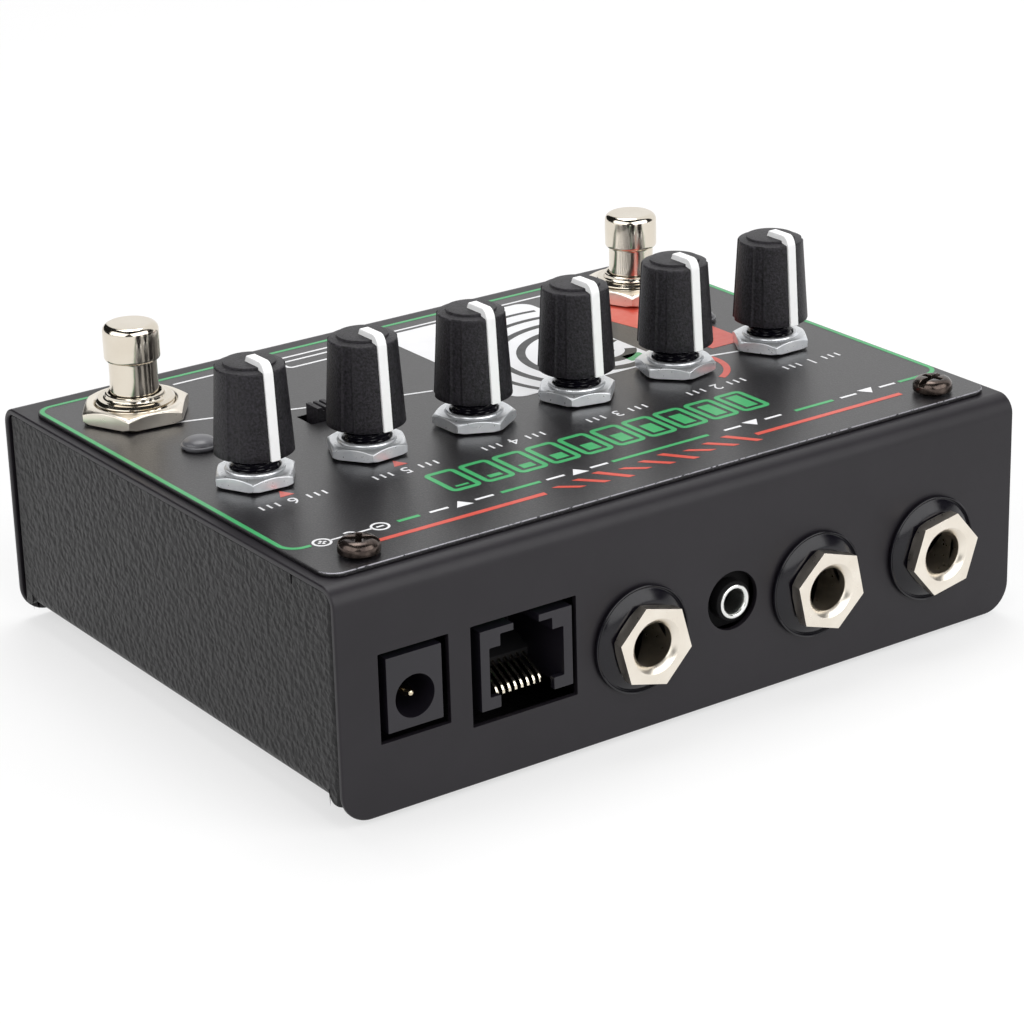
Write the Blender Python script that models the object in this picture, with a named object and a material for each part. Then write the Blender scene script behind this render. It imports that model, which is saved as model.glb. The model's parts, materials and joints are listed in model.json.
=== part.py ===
"""Tape echo simulator pedal, modelled piece by piece at its real size.

Metres, +Z up, +Y towards the socket wall. The origin is on the surface that the pedal
stands on, under the middle of its outline, sockets' nuts included.
"""

import math

import bmesh
import bpy
from mathutils import Matrix, Vector

# Working clearances
GAP = 0.0003  # between pieces that touch on the real object
RUN_OUT = 0.002  # how far a cutter runs past what it cuts
MERGE_DISTANCE = 0.000001

# Folded steel shell: top, socket wall and front wall in one sheet, with a bracket welded in each wall
SHELL_LENGTH = 0.1216
SHELL_DEPTH = 0.0947
SHELL_SHEET = 0.0015
SHELL_INNER_BEND = 0.0019
SHELL_FOOT_CORNER = 0.0045
BRACKET_REACH = 0.011  # inwards from the wall
BRACKET_RISE = 0.0065
BRACKET_WIDTH = 0.009
WELD_SINK = 0.0003  # how far a bracket is let into the wall to be one with it
FOOT_STANDOFF = 0.001  # the shell's lower edge above the surface

# Folded steel chassis: base and both ends in one sheet, with a flange at each end's edges
CHASSIS_SHEET = 0.0012
CHASSIS_INNER_BEND = 0.0006
END_RECESS = 0.0009  # how far the ends lie inside the shell's open ends
FLANGE_REACH = 0.004
FOLD_SETBACK = 0.0033  # the fold stops this far short of the chassis's edge
RELIEF_WIDTH = 0.0003  # slit between the fold and the flange's foot
RELIEF_HEIGHT = 0.0006
FLANGE_FOOT_RISE = 0.00025  # the flange's foot above the base's underside
FLANGE_FOOT_CORNER = 0.0014
NOTCH_CLEARANCE = 0.001  # between a flange's edge and the wide part of the base
BASE_RISE = 0.0018  # the base's underside above the shell's lower edge

# Heights inside, from the base up
UNDER_JACK_SPACE = 0.0027
JACK_HEIGHT = 0.0172
BOARD_THICKNESS = 0.0016
POT_BODY_HEIGHT = 0.0075

# Printed faceplate
PLATE_THICKNESS = 0.00065
PLATE_SIDE_MARGIN = 0.0016
PLATE_FRONT_MARGIN = 0.00655
PLATE_REAR_MARGIN = 0.0036
PLATE_CORNER = 0.0028

# Board that carries every control and socket
BOARD_EDGE_CLEARANCE = 0.0005
BOARD_CORNER = 0.0015
STANDOFF_RADIUS = 0.00275
CHIP_WIDTH = 0.012
CHIP_HEIGHT = 0.0015
CAPACITOR_RADIUS = 0.00315
CAPACITOR_HEIGHT = 0.0054
BOARD_PART_SINK = 0.0004  # how far a soldered part is let into the board to be one with it
CHIP_PLACE_SHARES = ((0.20, 0.5), (-0.32, 0.5))
CAPACITOR_PLACE_SHARES = ((0.48, 0.46), (-0.06, 0.46), (-0.56, 0.46))

# Dials
KNOB_ROW_X_SHARES = (0.791, -0.766)  # first and last dial
KNOB_ROW_Y_SHARE = 0.145
KNOB_COUNT = 6
KNOB_RADIUS = 0.0059
KNOB_RIM_RADIUS = 0.0051
KNOB_FACE_RADIUS = 0.00395
KNOB_DISC_RADIUS = 0.0038
KNOB_HEIGHT = 0.0135
KNOB_RIM_DROP = 0.00055  # the rim below the disc
KNOB_FACE_DROP = 0.0003
KNOB_FLUTES = 6
KNOB_FLUTE_DEPTH = 0.00018
POINTER_WIDTH = 0.0015
POINTER_RISE = 0.0009  # above the disc
POINTER_PROUD = 0.0002  # out from the side
POINTER_SHOULDER = 0.0003
POINTER_SINK = 0.0008
POINTER_INNER_SLOPE = 0.00045

# Pots behind the dials
POT_BODY_WIDTH = 0.0095
POT_BODY_DEPTH = 0.011
POT_BODY_EDGE = 0.0005
POT_FLOOR = 0.001
BUSHING_RADIUS = 0.0035
BUSHING_LENGTH = 0.0071
BUSHING_EDGE = 0.0004
SHAFT_RADIUS = 0.003
SHAFT_FLAT = 0.0018  # the D-shaft's flat, from its axis
SHAFT_REACH = 0.010  # up inside the dial
SHAFT_NECK_RADIUS = 0.0024
SHAFT_EDGE = 0.0004

# Hexagon nuts
POT_NUT_ACROSS = 0.011
POT_NUT_THICKNESS = 0.0018
POT_NUT_TURNS = (56, 5, 33, 47, 13, 0)  # degrees, one for each dial
SWITCH_NUT_ACROSS = 0.015
SWITCH_NUT_THICKNESS = 0.0023
SWITCH_NUT_TURN = 54
NUT_FACE_SHARE = 0.97  # the round face of a chamfered nut, of its width across flats
NUT_CHAMFER_SLOPE = 0.5  # chamfer depth over chamfer width

# Foot switches
SWITCH_X_SHARES = (0.788, -0.754)
SWITCH_ROW_Y_SHARE = -0.600
SWITCH_BODY_WIDTH = 0.015
SWITCH_BODY_EDGE = 0.0006
SWITCH_FLOOR = 0.0008
SWITCH_BUSHING_RADIUS = 0.006
SWITCH_BUSHING_LENGTH = 0.006
SWITCH_BUSHING_EDGE = 0.0004
SWITCH_COLLAR_RADIUS = 0.0045
SWITCH_COLLAR_HEIGHT = 0.0008
SWITCH_TRAVEL = 0.0015
PLUNGER_DROPS = (0, 0.0007)  # the second button rests lower, latched
PLUNGER_NECK_RADIUS = 0.0037
PLUNGER_NECK_SHOWING = 0.0051
PLUNGER_CAP_RADIUS = 0.00425
PLUNGER_CAP_HEIGHT = 0.0056
PLUNGER_TOP_ROUND = 0.0011
PLUNGER_LOWER_EDGE = 0.0005

# Status lights, in one row with the slide switch
SMALL_ROW_Y_SHARE = -0.2155
LIGHT_X_SHARES = (0.78, -0.752)
LIGHT_RADIUS = 0.0028
LIGHT_RIM_HEIGHT = 0.0004
LIGHT_DOME_RADIUS = 0.0025
LIGHT_DOME_HEIGHT = 0.001
LIGHT_STEM_RADIUS = 0.0022

# Slide switch
SLIDE_X_SHARE = 0.4095
SLIDE_TRAVEL = 0.003
ACTUATOR_LENGTH = 0.0032
ACTUATOR_WIDTH = 0.0034
ACTUATOR_PROUD = 0.002
ACTUATOR_RIDGES = 3
ACTUATOR_GROOVE_DEPTH = 0.0004
ACTUATOR_GROOVE_SHARE = 0.45  # groove width, of the pitch of the ridges
SLOT_END_CLEARANCE = 0.0014
SLOT_SIDE_CLEARANCE = 0.0004
SLIDE_BODY_WALL = 0.0014
SLIDE_CAVITY_DEPTH = 0.003

# Faceplate screws
PLATE_SCREW_SIDE_INSET = 0.0077  # from the faceplate's side edge
PLATE_SCREW_REAR_INSET = 0.00435
SCREW_RADIUS = 0.0015
PLATE_SCREW_HEAD_RADIUS = 0.003
PLATE_SCREW_HEAD_HEIGHT = 0.002
PLATE_SCREW_HEAD_EDGE_SHARE = 0.4  # straight rim of the head, of its height
PLATE_SCREW_HEAD_TOP_SHARE = 0.62  # flat top of the head, of its radius
PLATE_SCREW_TIP_RISE = 0.0012  # the screw's tip above the board's underside
RECESS_DEPTH = 0.0009
RECESS_WIDTH = 0.0009
RECESS_LENGTH = 0.0042

# Sockets for jack plugs, quarter inch
JACK_X_SHARES = (0.171, -0.3586, -0.727)
JACK_WIDTH = 0.0154
JACK_LENGTH = 0.026
JACK_EDGE = 0.0005
JACK_BORE_RADIUS = 0.0034
JACK_BACK_WALL = 0.001
FERRULE_BORE_RADIUS = 0.00325
FERRULE_TUBE_RADIUS = 0.0043
FERRULE_ACROSS = 0.0112
FERRULE_PROUD = 0.0039  # the nut face beyond the wall
FERRULE_HEAD_THICKNESS = 0.0021
FERRULE_TUBE_REACH = 0.008  # behind the wall's outer face
FERRULE_CHAMFER = 0.00095
FERRULE_TURNS = (45.4, 42.5, 10.3)  # degrees
COLLAR_RADIUS = 0.00815
COLLAR_LIP_THICKNESS = 0.0005
COLLAR_CONE_RADIUS = 0.0075
COLLAR_TOP_RADIUS = 0.0058

# Mini socket, 3.5 mm
MINI_X_SHARE = -0.1053
MINI_DROP = 0.0073  # its axis below its body's top
MINI_HEIGHT = 0.0118
MINI_WIDTH = 0.009
MINI_LENGTH = 0.014
MINI_CUTOUT_RADIUS = 0.0045
MINI_NOSE_RADIUS = 0.0031
MINI_NOSE_PROUD = 0.0002
MINI_NOSE_WALL = 0.0004
MINI_SLEEVE_WALL = 0.0004
MINI_SLEEVE_RIM = 0.0003
MINI_SLEEVE_LIP = 0.0002  # how far the sleeve's rim covers the nose
MINI_SLEEVE_REACH = 0.009

# Power socket
POWER_X_SHARE = 0.7993
POWER_WIDTH = 0.009
POWER_HEIGHT = 0.0111
POWER_LENGTH = 0.0144
POWER_AXIS_RISE = 0.0045  # its axis above its underside
POWER_BORE_RADIUS = 0.00315
POWER_BORE_DEPTH = 0.0105
POWER_PIN_RADIUS = 0.001
POWER_PIN_RECESS = 0.0016  # the pin's tip behind the face
POWER_CUTOUT_SIDE = 0.0012
POWER_CUTOUT_BELOW = 0.0012
POWER_CUTOUT_ABOVE = 0.00095

# Modular socket, eight contacts
MODULAR_X_SHARE = 0.4996
MODULAR_SHIFT = 0.0004  # its centre beside the cut-out's centre
MODULAR_WIDTH = 0.01557
MODULAR_HEIGHT = 0.01203
MODULAR_LENGTH = 0.0165
MODULAR_DROP = 0.0006  # its top under the board
MODULAR_CUTOUT_SIDE = 0.0011
MODULAR_CUTOUT_BELOW = 0.00185
MODULAR_CUTOUT_ABOVE = 0.0012
MODULAR_DEPTH = 0.0135
MODULAR_OPENING_WIDTH = 0.0125
MODULAR_OPENING_RISE = 0.00185  # the opening's floor above the body's underside
MODULAR_OPENING_HEIGHT = 0.00735
MODULAR_STEP_WIDTH = 0.00875
MODULAR_STEP_HEIGHT = 0.00175
MODULAR_LATCH_WIDTH = 0.00425
MODULAR_NOTCH_WIDTH = 0.009
MODULAR_NOTCH_DEPTH = 0.006  # how far the slots through its top and underside run back
CONTACT_COUNT = 8
CONTACT_PITCH = 0.00102
CONTACT_WIDTH = 0.00045
CONTACT_TIP_RECESS = 0.0024  # behind the face
CONTACT_RISE = 0.0026
CONTACT_BAR_SIZE = 0.0012

# Rubber feet and the screws that hold the chassis
FOOT_RADIUS = 0.006
FOOT_TOP_RADIUS = 0.0054
FOOT_INSET = 0.0065  # from the base's edges to the foot's edge
BASE_SCREW_HEAD_RADIUS = 0.0027
BASE_SCREW_HEAD_TOP_SHARE = 0.6  # flat face of the head, of its radius
BASE_SCREW_HEAD_HEIGHT = 0.0014
BASE_SCREW_TIP_REACH = 0.001  # above the bracket

# How finely round shapes are cut
FOLD_STEPS = 4
CORNER_STEPS = 4
FINE_SIDES = 24
ROUND_SIDES = 18
SMALL_SIDES = 12
SPOKES_PER_FLUTE = 6
SMOOTH_ANGLE = math.radians(35)

# Levels and places worked out from the sizes above
SHELL_BOTTOM = FOOT_STANDOFF
BASE_UNDERSIDE = SHELL_BOTTOM + BASE_RISE
BASE_TOP = BASE_UNDERSIDE + CHASSIS_SHEET
BRACKET_UNDERSIDE = BASE_TOP + GAP
JACK_AXIS = BASE_TOP + UNDER_JACK_SPACE + JACK_HEIGHT / 2
BOARD_UNDERSIDE = BASE_TOP + UNDER_JACK_SPACE + JACK_HEIGHT + GAP
BOARD_TOP = BOARD_UNDERSIDE + BOARD_THICKNESS
PARTS_FLOOR = BOARD_TOP + GAP
PARTS_TOP = PARTS_FLOOR + POT_BODY_HEIGHT
CEILING = PARTS_TOP + GAP
SHELL_TOP = CEILING + SHELL_SHEET
PLATE_UNDERSIDE = SHELL_TOP + GAP
PLATE_TOP = PLATE_UNDERSIDE + PLATE_THICKNESS
NUT_SEAT = PLATE_TOP + GAP
KNOB_SEAT = PARTS_TOP + BUSHING_LENGTH + GAP
SWITCH_MOUTH = PARTS_TOP + SWITCH_BUSHING_LENGTH + SWITCH_COLLAR_HEIGHT

HALF_LENGTH = SHELL_LENGTH / 2
HALF_DEPTH = SHELL_DEPTH / 2
SHELL_INSIDE = HALF_DEPTH - SHELL_SHEET
CHASSIS_END = HALF_LENGTH - END_RECESS
CHASSIS_EDGE = SHELL_INSIDE - GAP
CHASSIS_BEND = CHASSIS_SHEET + CHASSIS_INNER_BEND
BASE_EDGE = CHASSIS_EDGE - FOLD_SETBACK
PARTS_BACK = SHELL_INSIDE - GAP  # where bodies behind the socket wall begin
PLATE_FRONT = PLATE_FRONT_MARGIN - HALF_DEPTH
PLATE_REAR = HALF_DEPTH - PLATE_REAR_MARGIN
PLATE_END = HALF_LENGTH - PLATE_SIDE_MARGIN
KNOB_Y = HALF_DEPTH * KNOB_ROW_Y_SHARE
KNOB_STEP_SHARE = (KNOB_ROW_X_SHARES[1] - KNOB_ROW_X_SHARES[0]) / (KNOB_COUNT - 1)
KNOB_XS = [HALF_LENGTH * (KNOB_ROW_X_SHARES[0] + i * KNOB_STEP_SHARE) for i in range(KNOB_COUNT)]
SWITCH_XS = [HALF_LENGTH * share for share in SWITCH_X_SHARES]
SWITCH_Y = HALF_DEPTH * SWITCH_ROW_Y_SHARE
LIGHT_XS = [HALF_LENGTH * share for share in LIGHT_X_SHARES]
SMALL_ROW_Y = HALF_DEPTH * SMALL_ROW_Y_SHARE
SLOT_LENGTH = SLIDE_TRAVEL + ACTUATOR_LENGTH + 2 * SLOT_END_CLEARANCE
SLOT_WIDTH = ACTUATOR_WIDTH + 2 * SLOT_SIDE_CLEARANCE
SLIDE_X = HALF_LENGTH * SLIDE_X_SHARE
PLATE_SCREW_XS = (PLATE_END - PLATE_SCREW_SIDE_INSET, PLATE_SCREW_SIDE_INSET - PLATE_END)
PLATE_SCREW_Y = PLATE_REAR - PLATE_SCREW_REAR_INSET
BASE_SCREW_Y = SHELL_INSIDE - (BRACKET_REACH + SHELL_SHEET) / 2
JACK_XS = [HALF_LENGTH * share for share in JACK_X_SHARES]
MINI_X = HALF_LENGTH * MINI_X_SHARE
MINI_AXIS = BOARD_UNDERSIDE - GAP - MINI_DROP
POWER_X = HALF_LENGTH * POWER_X_SHARE
POWER_UNDERSIDE = BOARD_UNDERSIDE - GAP - POWER_HEIGHT
MODULAR_CUTOUT_X = HALF_LENGTH * MODULAR_X_SHARE
MODULAR_X = MODULAR_CUTOUT_X - MODULAR_SHIFT
MODULAR_TOP = BOARD_UNDERSIDE - MODULAR_DROP
MODULAR_UNDERSIDE = MODULAR_TOP - MODULAR_HEIGHT
SCREW_HOLE_RADIUS = SCREW_RADIUS + GAP
BUSHING_HOLE_RADIUS = BUSHING_RADIUS + GAP
SWITCH_HOLE_RADIUS = SWITCH_BUSHING_RADIUS + GAP
LIGHT_HOLE_RADIUS = LIGHT_STEM_RADIUS + GAP
JACK_HOLE_RADIUS = FERRULE_TUBE_RADIUS + GAP

ALONG_Z = Matrix.Identity(4)
ALONG_Y = Matrix.Rotation(math.radians(-90), 4, "X")  # turns a piece made along +Z to point along +Y


def finish(name, colour, roughness, metallic=0.0):
    """A plain Principled material, colour in linear values."""
    material = bpy.data.materials.new(name)
    material.use_nodes = True
    shader = material.node_tree.nodes["Principled BSDF"]
    shader.inputs["Base Color"].default_value = (*colour, 1)
    shader.inputs["Roughness"].default_value = roughness
    shader.inputs["Metallic"].default_value = metallic
    return material


def closed_mesh(bm):
    """Turns a bmesh into a mesh with its faces pointing out."""
    bmesh.ops.remove_doubles(bm, verts=bm.verts, dist=MERGE_DISTANCE)
    bmesh.ops.recalc_face_normals(bm, faces=bm.faces)
    mesh = bpy.data.meshes.new("shape")
    bm.to_mesh(mesh)
    bm.free()
    return mesh


def block(low, high):
    """A box between two corners."""
    outline = [(low[0], low[1]), (high[0], low[1]), (high[0], high[1]), (low[0], high[1])]
    return prism(outline, low[2], high[2])


def edged_block(low, high, edge):
    """A box with all its edges chamfered."""
    bm = bmesh.new()
    bm.from_mesh(block(low, high))
    bmesh.ops.bevel(bm, geom=bm.edges, offset=edge, segments=1, affect="EDGES")
    return closed_mesh(bm)


def prism(outline, start, end, axis="Z"):
    """An outline pushed along an axis. Its points are XY for Z, YZ for X and XZ for Y."""
    spots = {
        "Z": lambda a, b: (a, b, start),
        "X": lambda a, b: (start, a, b),
        "Y": lambda a, b: (a, start, b),
    }
    pushes = {"Z": (0, 0, end - start), "X": (end - start, 0, 0), "Y": (0, end - start, 0)}
    bm = bmesh.new()
    face = bm.faces.new([bm.verts.new(spots[axis](a, b)) for a, b in outline])
    pushed = bmesh.ops.extrude_face_region(bm, geom=[face])["geom"]
    moved = [piece for piece in pushed if isinstance(piece, bmesh.types.BMVert)]
    bmesh.ops.translate(bm, verts=moved, vec=pushes[axis])
    return closed_mesh(bm)


def turned(profile, sides):
    """A profile of (radius, height) points spun round Z. A profile off the axis closes on itself."""
    bm = bmesh.new()
    points = [bm.verts.new((radius, 0, height)) for radius, height in profile]
    edges = [bm.edges.new(pair) for pair in zip(points, points[1:])]
    if profile[0][0] > 0:
        edges.append(bm.edges.new((points[-1], points[0])))
    bmesh.ops.spin(bm, geom=points + edges, axis=(0, 0, 1), cent=(0, 0, 0), angle=math.tau, steps=sides)
    return closed_mesh(bm)


def lofted(rings):
    """Rings of equally many points joined in turn, with both ends closed."""
    bm = bmesh.new()
    loops = [[bm.verts.new(point) for point in ring] for ring in rings]
    for lower, upper in zip(loops, loops[1:]):
        for i, point in enumerate(lower):
            bm.faces.new((lower[i - 1], point, upper[i], upper[i - 1]))
    bm.faces.new(loops[0])
    bm.faces.new(loops[-1])
    return closed_mesh(bm)


def moved(mesh, place, turn=ALONG_Z):
    """The mesh turned and then moved."""
    mesh.transform(Matrix.Translation(place) @ turn)
    return mesh


def mirrored(mesh, side, edge):
    """The mesh mirrored along X where the side is -1 and along Y where the edge is -1."""
    mesh.transform(Matrix.Diagonal((side, edge, 1, 1)))
    if side * edge < 0:
        mesh.flip_normals()
    return mesh


def combined(base, tools, operation):
    """The base cut by, joined to or limited to each of the other meshes."""
    owner = bpy.data.objects.new("base", base)
    bpy.context.scene.collection.objects.link(owner)
    helpers = []
    for tool in tools:
        helper = bpy.data.objects.new("tool", tool)
        bpy.context.scene.collection.objects.link(helper)
        helpers.append(helper)
        step = owner.modifiers.new("step", "BOOLEAN")
        step.operation = operation
        step.solver = "EXACT"
        step.object = helper
    graph = bpy.context.evaluated_depsgraph_get()
    result = bpy.data.meshes.new_from_object(owner.evaluated_get(graph))
    for helper in [owner, *helpers]:
        bpy.data.objects.remove(helper)
    return result


def cut(base, *tools):
    return combined(base, tools, "DIFFERENCE")


def joined(base, *tools):
    return combined(base, tools, "UNION")


def shared(base, *tools):
    return combined(base, tools, "INTERSECT")


def piece(name, mesh, material, place=(0, 0, 0), turn=0):
    """A named piece of the pedal, carried by the origin empty, turned about its own Z in degrees."""
    mesh.materials.clear()
    mesh.materials.append(material)
    mesh.shade_smooth()
    mesh.set_sharp_from_angle(angle=SMOOTH_ANGLE)
    made = bpy.data.objects.new(name, mesh)
    made.parent = bpy.data.objects["pedal_origin"]
    made.location = place
    made.rotation_euler = (0, 0, math.radians(turn))
    bpy.context.scene.collection.objects.link(made)
    return made


def arc(centre, radius, start, end, steps):
    """Points on an arc, angles in degrees, both ends included."""
    angles = [math.radians(start + (end - start) * i / steps) for i in range(steps + 1)]
    return [(centre[0] + radius * math.cos(a), centre[1] + radius * math.sin(a)) for a in angles]


def quarter_ellipse(flat, radius, side, top):
    """Profile points of a rounded edge, from the flat's rim at the top out and down to the side."""
    angles = [math.pi / 2 * i / FOLD_STEPS for i in range(FOLD_STEPS + 1)]
    return [(flat + (radius - flat) * math.sin(a), side + (top - side) * math.cos(a)) for a in angles]


def polygon(radius, sides, turn=0):
    """Corners of a regular polygon, the first at an angle in degrees."""
    return arc((0, 0), radius, turn, turn + 360, sides)[:-1]


def rounded_rectangle(low, high, radius):
    """A rectangle between two corners with round corners."""
    corners = (
        (high[0] - radius, high[1] - radius, 0),
        (low[0] + radius, high[1] - radius, 90),
        (low[0] + radius, low[1] + radius, 180),
        (high[0] - radius, low[1] + radius, 270),
    )
    points = []
    for x, y, start in corners:
        points += arc((x, y), radius, start, start + 90, CORNER_STEPS)
    return points


def bent_sheet(corners, bends, sheet):
    """The outline of a sheet bent left by right angles: outer corner points, inner bend radii, thickness."""
    corners = [Vector(corner) for corner in corners]
    ways = [(b - a).normalized() for a, b in zip(corners, corners[1:])]
    outer = [corners[0]]
    inner = [corners[0] + ways[1] * sheet]
    for corner, bend, before, after in zip(corners[1:], bends, ways, ways[1:]):
        centre = corner + (after - before) * (bend + sheet)
        for i in range(FOLD_STEPS + 1):
            a = math.pi / 2 * i / FOLD_STEPS
            way = before * math.sin(a) - after * math.cos(a)
            outer.append(centre + way * (bend + sheet))
            inner.append(centre + way * bend)
    outer.append(corners[-1])
    inner.append(corners[-1] - ways[-2] * sheet)
    return [tuple(point) for point in outer + inner[::-1]]


def corner_cutter(corner, radius, turn, start, end, axis):
    """What lies outside a round corner. The turn in degrees points from the corner's centre outwards."""
    quarter = arc((0, 0), radius, 0, 90, CORNER_STEPS)
    far = radius + RUN_OUT
    outline = [(far, 0), *quarter, (0, far), (far, far)]
    c, s = round(math.cos(math.radians(turn))), round(math.sin(math.radians(turn)))
    placed = [(corner[0] + c * a - s * b, corner[1] + s * a + c * b) for a, b in outline]
    return prism(placed, start, end, axis)


def flattened(rod, flat, low, high):
    """A round rod with a flat on its -Y side, that far from its axis."""
    far = SHAFT_RADIUS + RUN_OUT
    return cut(rod, block((-far, -far, low - RUN_OUT), (far, -flat, high + RUN_OUT)))


def nut(across, thickness, bore):
    """A hexagon nut with chamfered corners, its first corner along +X."""
    corner = across / math.sqrt(3)
    face = across / 2 * NUT_FACE_SHARE
    reach = corner + RUN_OUT
    slope = (reach - face) * NUT_CHAMFER_SLOPE
    drum = [(0, 0), (face, 0), (reach, slope), (reach, thickness - slope), (face, thickness), (0, thickness)]
    if slope * 2 >= thickness:
        middle = face + thickness / 2 / NUT_CHAMFER_SLOPE
        drum[2:4] = [(middle, thickness / 2)]
    hexagon = prism(polygon(corner, 6), -RUN_OUT, thickness + RUN_OUT)
    hole = prism(polygon(bore, ROUND_SIDES), -RUN_OUT, thickness + RUN_OUT)
    return cut(shared(turned(drum, ROUND_SIDES), hexagon), hole)


def round_hole(x, y, radius, low, high):
    """A cutter for an upright round hole."""
    return moved(prism(polygon(radius, ROUND_SIDES), low, high), (x, y, 0))


def top_cutters():
    """Holes through the shell's top and the faceplate alike."""
    low, high = CEILING - RUN_OUT, PLATE_TOP + RUN_OUT
    holes = [round_hole(x, KNOB_Y, BUSHING_HOLE_RADIUS, low, high) for x in KNOB_XS]
    holes += [round_hole(x, SWITCH_Y, SWITCH_HOLE_RADIUS, low, high) for x in SWITCH_XS]
    holes += [round_hole(x, SMALL_ROW_Y, LIGHT_HOLE_RADIUS, low, high) for x in LIGHT_XS]
    holes += [round_hole(x, PLATE_SCREW_Y, SCREW_HOLE_RADIUS, low, high) for x in PLATE_SCREW_XS]
    slot_low = (SLIDE_X - SLOT_LENGTH / 2, SMALL_ROW_Y - SLOT_WIDTH / 2, low)
    slot_high = (SLIDE_X + SLOT_LENGTH / 2, SMALL_ROW_Y + SLOT_WIDTH / 2, high)
    return [*holes, block(slot_low, slot_high)]


def wall_cutters():
    """Openings in the socket wall."""
    near, far = SHELL_INSIDE - RUN_OUT, HALF_DEPTH + RUN_OUT
    openings = [
        moved(prism(polygon(JACK_HOLE_RADIUS, ROUND_SIDES), near, far), (x, 0, JACK_AXIS), ALONG_Y)
        for x in JACK_XS
    ]
    mini = prism(polygon(MINI_CUTOUT_RADIUS, ROUND_SIDES), near, far)
    openings.append(moved(mini, (MINI_X, 0, MINI_AXIS), ALONG_Y))
    power_side = POWER_WIDTH / 2 + POWER_CUTOUT_SIDE
    power_low = (POWER_X - power_side, near, POWER_UNDERSIDE - POWER_CUTOUT_BELOW)
    power_high = (POWER_X + power_side, far, POWER_UNDERSIDE + POWER_HEIGHT + POWER_CUTOUT_ABOVE)
    modular_side = MODULAR_WIDTH / 2 + MODULAR_CUTOUT_SIDE
    modular_low = (MODULAR_CUTOUT_X - modular_side, near, MODULAR_UNDERSIDE - MODULAR_CUTOUT_BELOW)
    modular_high = (MODULAR_CUTOUT_X + modular_side, far, MODULAR_TOP + MODULAR_CUTOUT_ABOVE)
    return [*openings, block(power_low, power_high), block(modular_low, modular_high)]


def base_screw_places():
    return [(MINI_X, BASE_SCREW_Y), (MINI_X, -BASE_SCREW_Y)]


def base_screw_holes():
    """Holes through the base and the brackets' feet alike."""
    low, high = BASE_UNDERSIDE - RUN_OUT, BRACKET_UNDERSIDE + SHELL_SHEET + RUN_OUT
    return [round_hole(x, y, SCREW_HOLE_RADIUS, low, high) for x, y in base_screw_places()]


def shell():
    """Top and both long walls, with every hole, and the brackets welded inside the walls."""
    corners = [
        (HALF_DEPTH, SHELL_BOTTOM),
        (HALF_DEPTH, SHELL_TOP),
        (-HALF_DEPTH, SHELL_TOP),
        (-HALF_DEPTH, SHELL_BOTTOM),
    ]
    outline = bent_sheet(corners, (SHELL_INNER_BEND, SHELL_INNER_BEND), SHELL_SHEET)
    body = joined(prism(outline, -HALF_LENGTH, HALF_LENGTH, "X"), bracket(1), bracket(-1))
    far = HALF_DEPTH + RUN_OUT
    centre_x = HALF_LENGTH - SHELL_FOOT_CORNER
    centre_z = SHELL_BOTTOM + SHELL_FOOT_CORNER
    near_corner = corner_cutter((centre_x, centre_z), SHELL_FOOT_CORNER, 270, -far, far, "Y")
    far_corner = corner_cutter((-centre_x, centre_z), SHELL_FOOT_CORNER, 180, -far, far, "Y")
    return cut(body, near_corner, far_corner, *base_screw_holes(), *top_cutters(), *wall_cutters())


def bracket(edge):
    """The angle in one long wall that the base is screwed to. Its foot lies on the base."""
    outer = SHELL_INSIDE + WELD_SINK
    corners = [
        (SHELL_INSIDE - BRACKET_REACH, BRACKET_UNDERSIDE),
        (outer, BRACKET_UNDERSIDE),
        (outer, BRACKET_UNDERSIDE + BRACKET_RISE),
    ]
    outline = bent_sheet(corners, (CHASSIS_INNER_BEND,), SHELL_SHEET)
    angle = prism(outline, MINI_X - BRACKET_WIDTH / 2, MINI_X + BRACKET_WIDTH / 2, "X")
    return mirrored(angle, 1, edge)


def chassis():
    """Base and ends folded from one sheet, with a flange at each upright edge."""
    top = CEILING - GAP
    corners = [
        (-CHASSIS_END, top),
        (-CHASSIS_END, BASE_UNDERSIDE),
        (CHASSIS_END, BASE_UNDERSIDE),
        (CHASSIS_END, top),
    ]
    outline = bent_sheet(corners, (CHASSIS_INNER_BEND, CHASSIS_INNER_BEND), CHASSIS_SHEET)
    tray = prism(outline, -CHASSIS_EDGE, CHASSIS_EDGE, "Y")
    corner_low = (CHASSIS_END - FLANGE_REACH - NOTCH_CLEARANCE, BASE_EDGE, BASE_UNDERSIDE - RUN_OUT)
    corner_high = (CHASSIS_END + RUN_OUT, CHASSIS_EDGE + RUN_OUT, top + RUN_OUT)
    quarters = [(side, edge) for side in (1, -1) for edge in (1, -1)]
    notches = [mirrored(block(corner_low, corner_high), side, edge) for side, edge in quarters]
    flanges = [mirrored(flange(), side, edge) for side, edge in quarters]
    return cut(joined(cut(tray, *notches), *flanges), *base_screw_holes())


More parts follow.
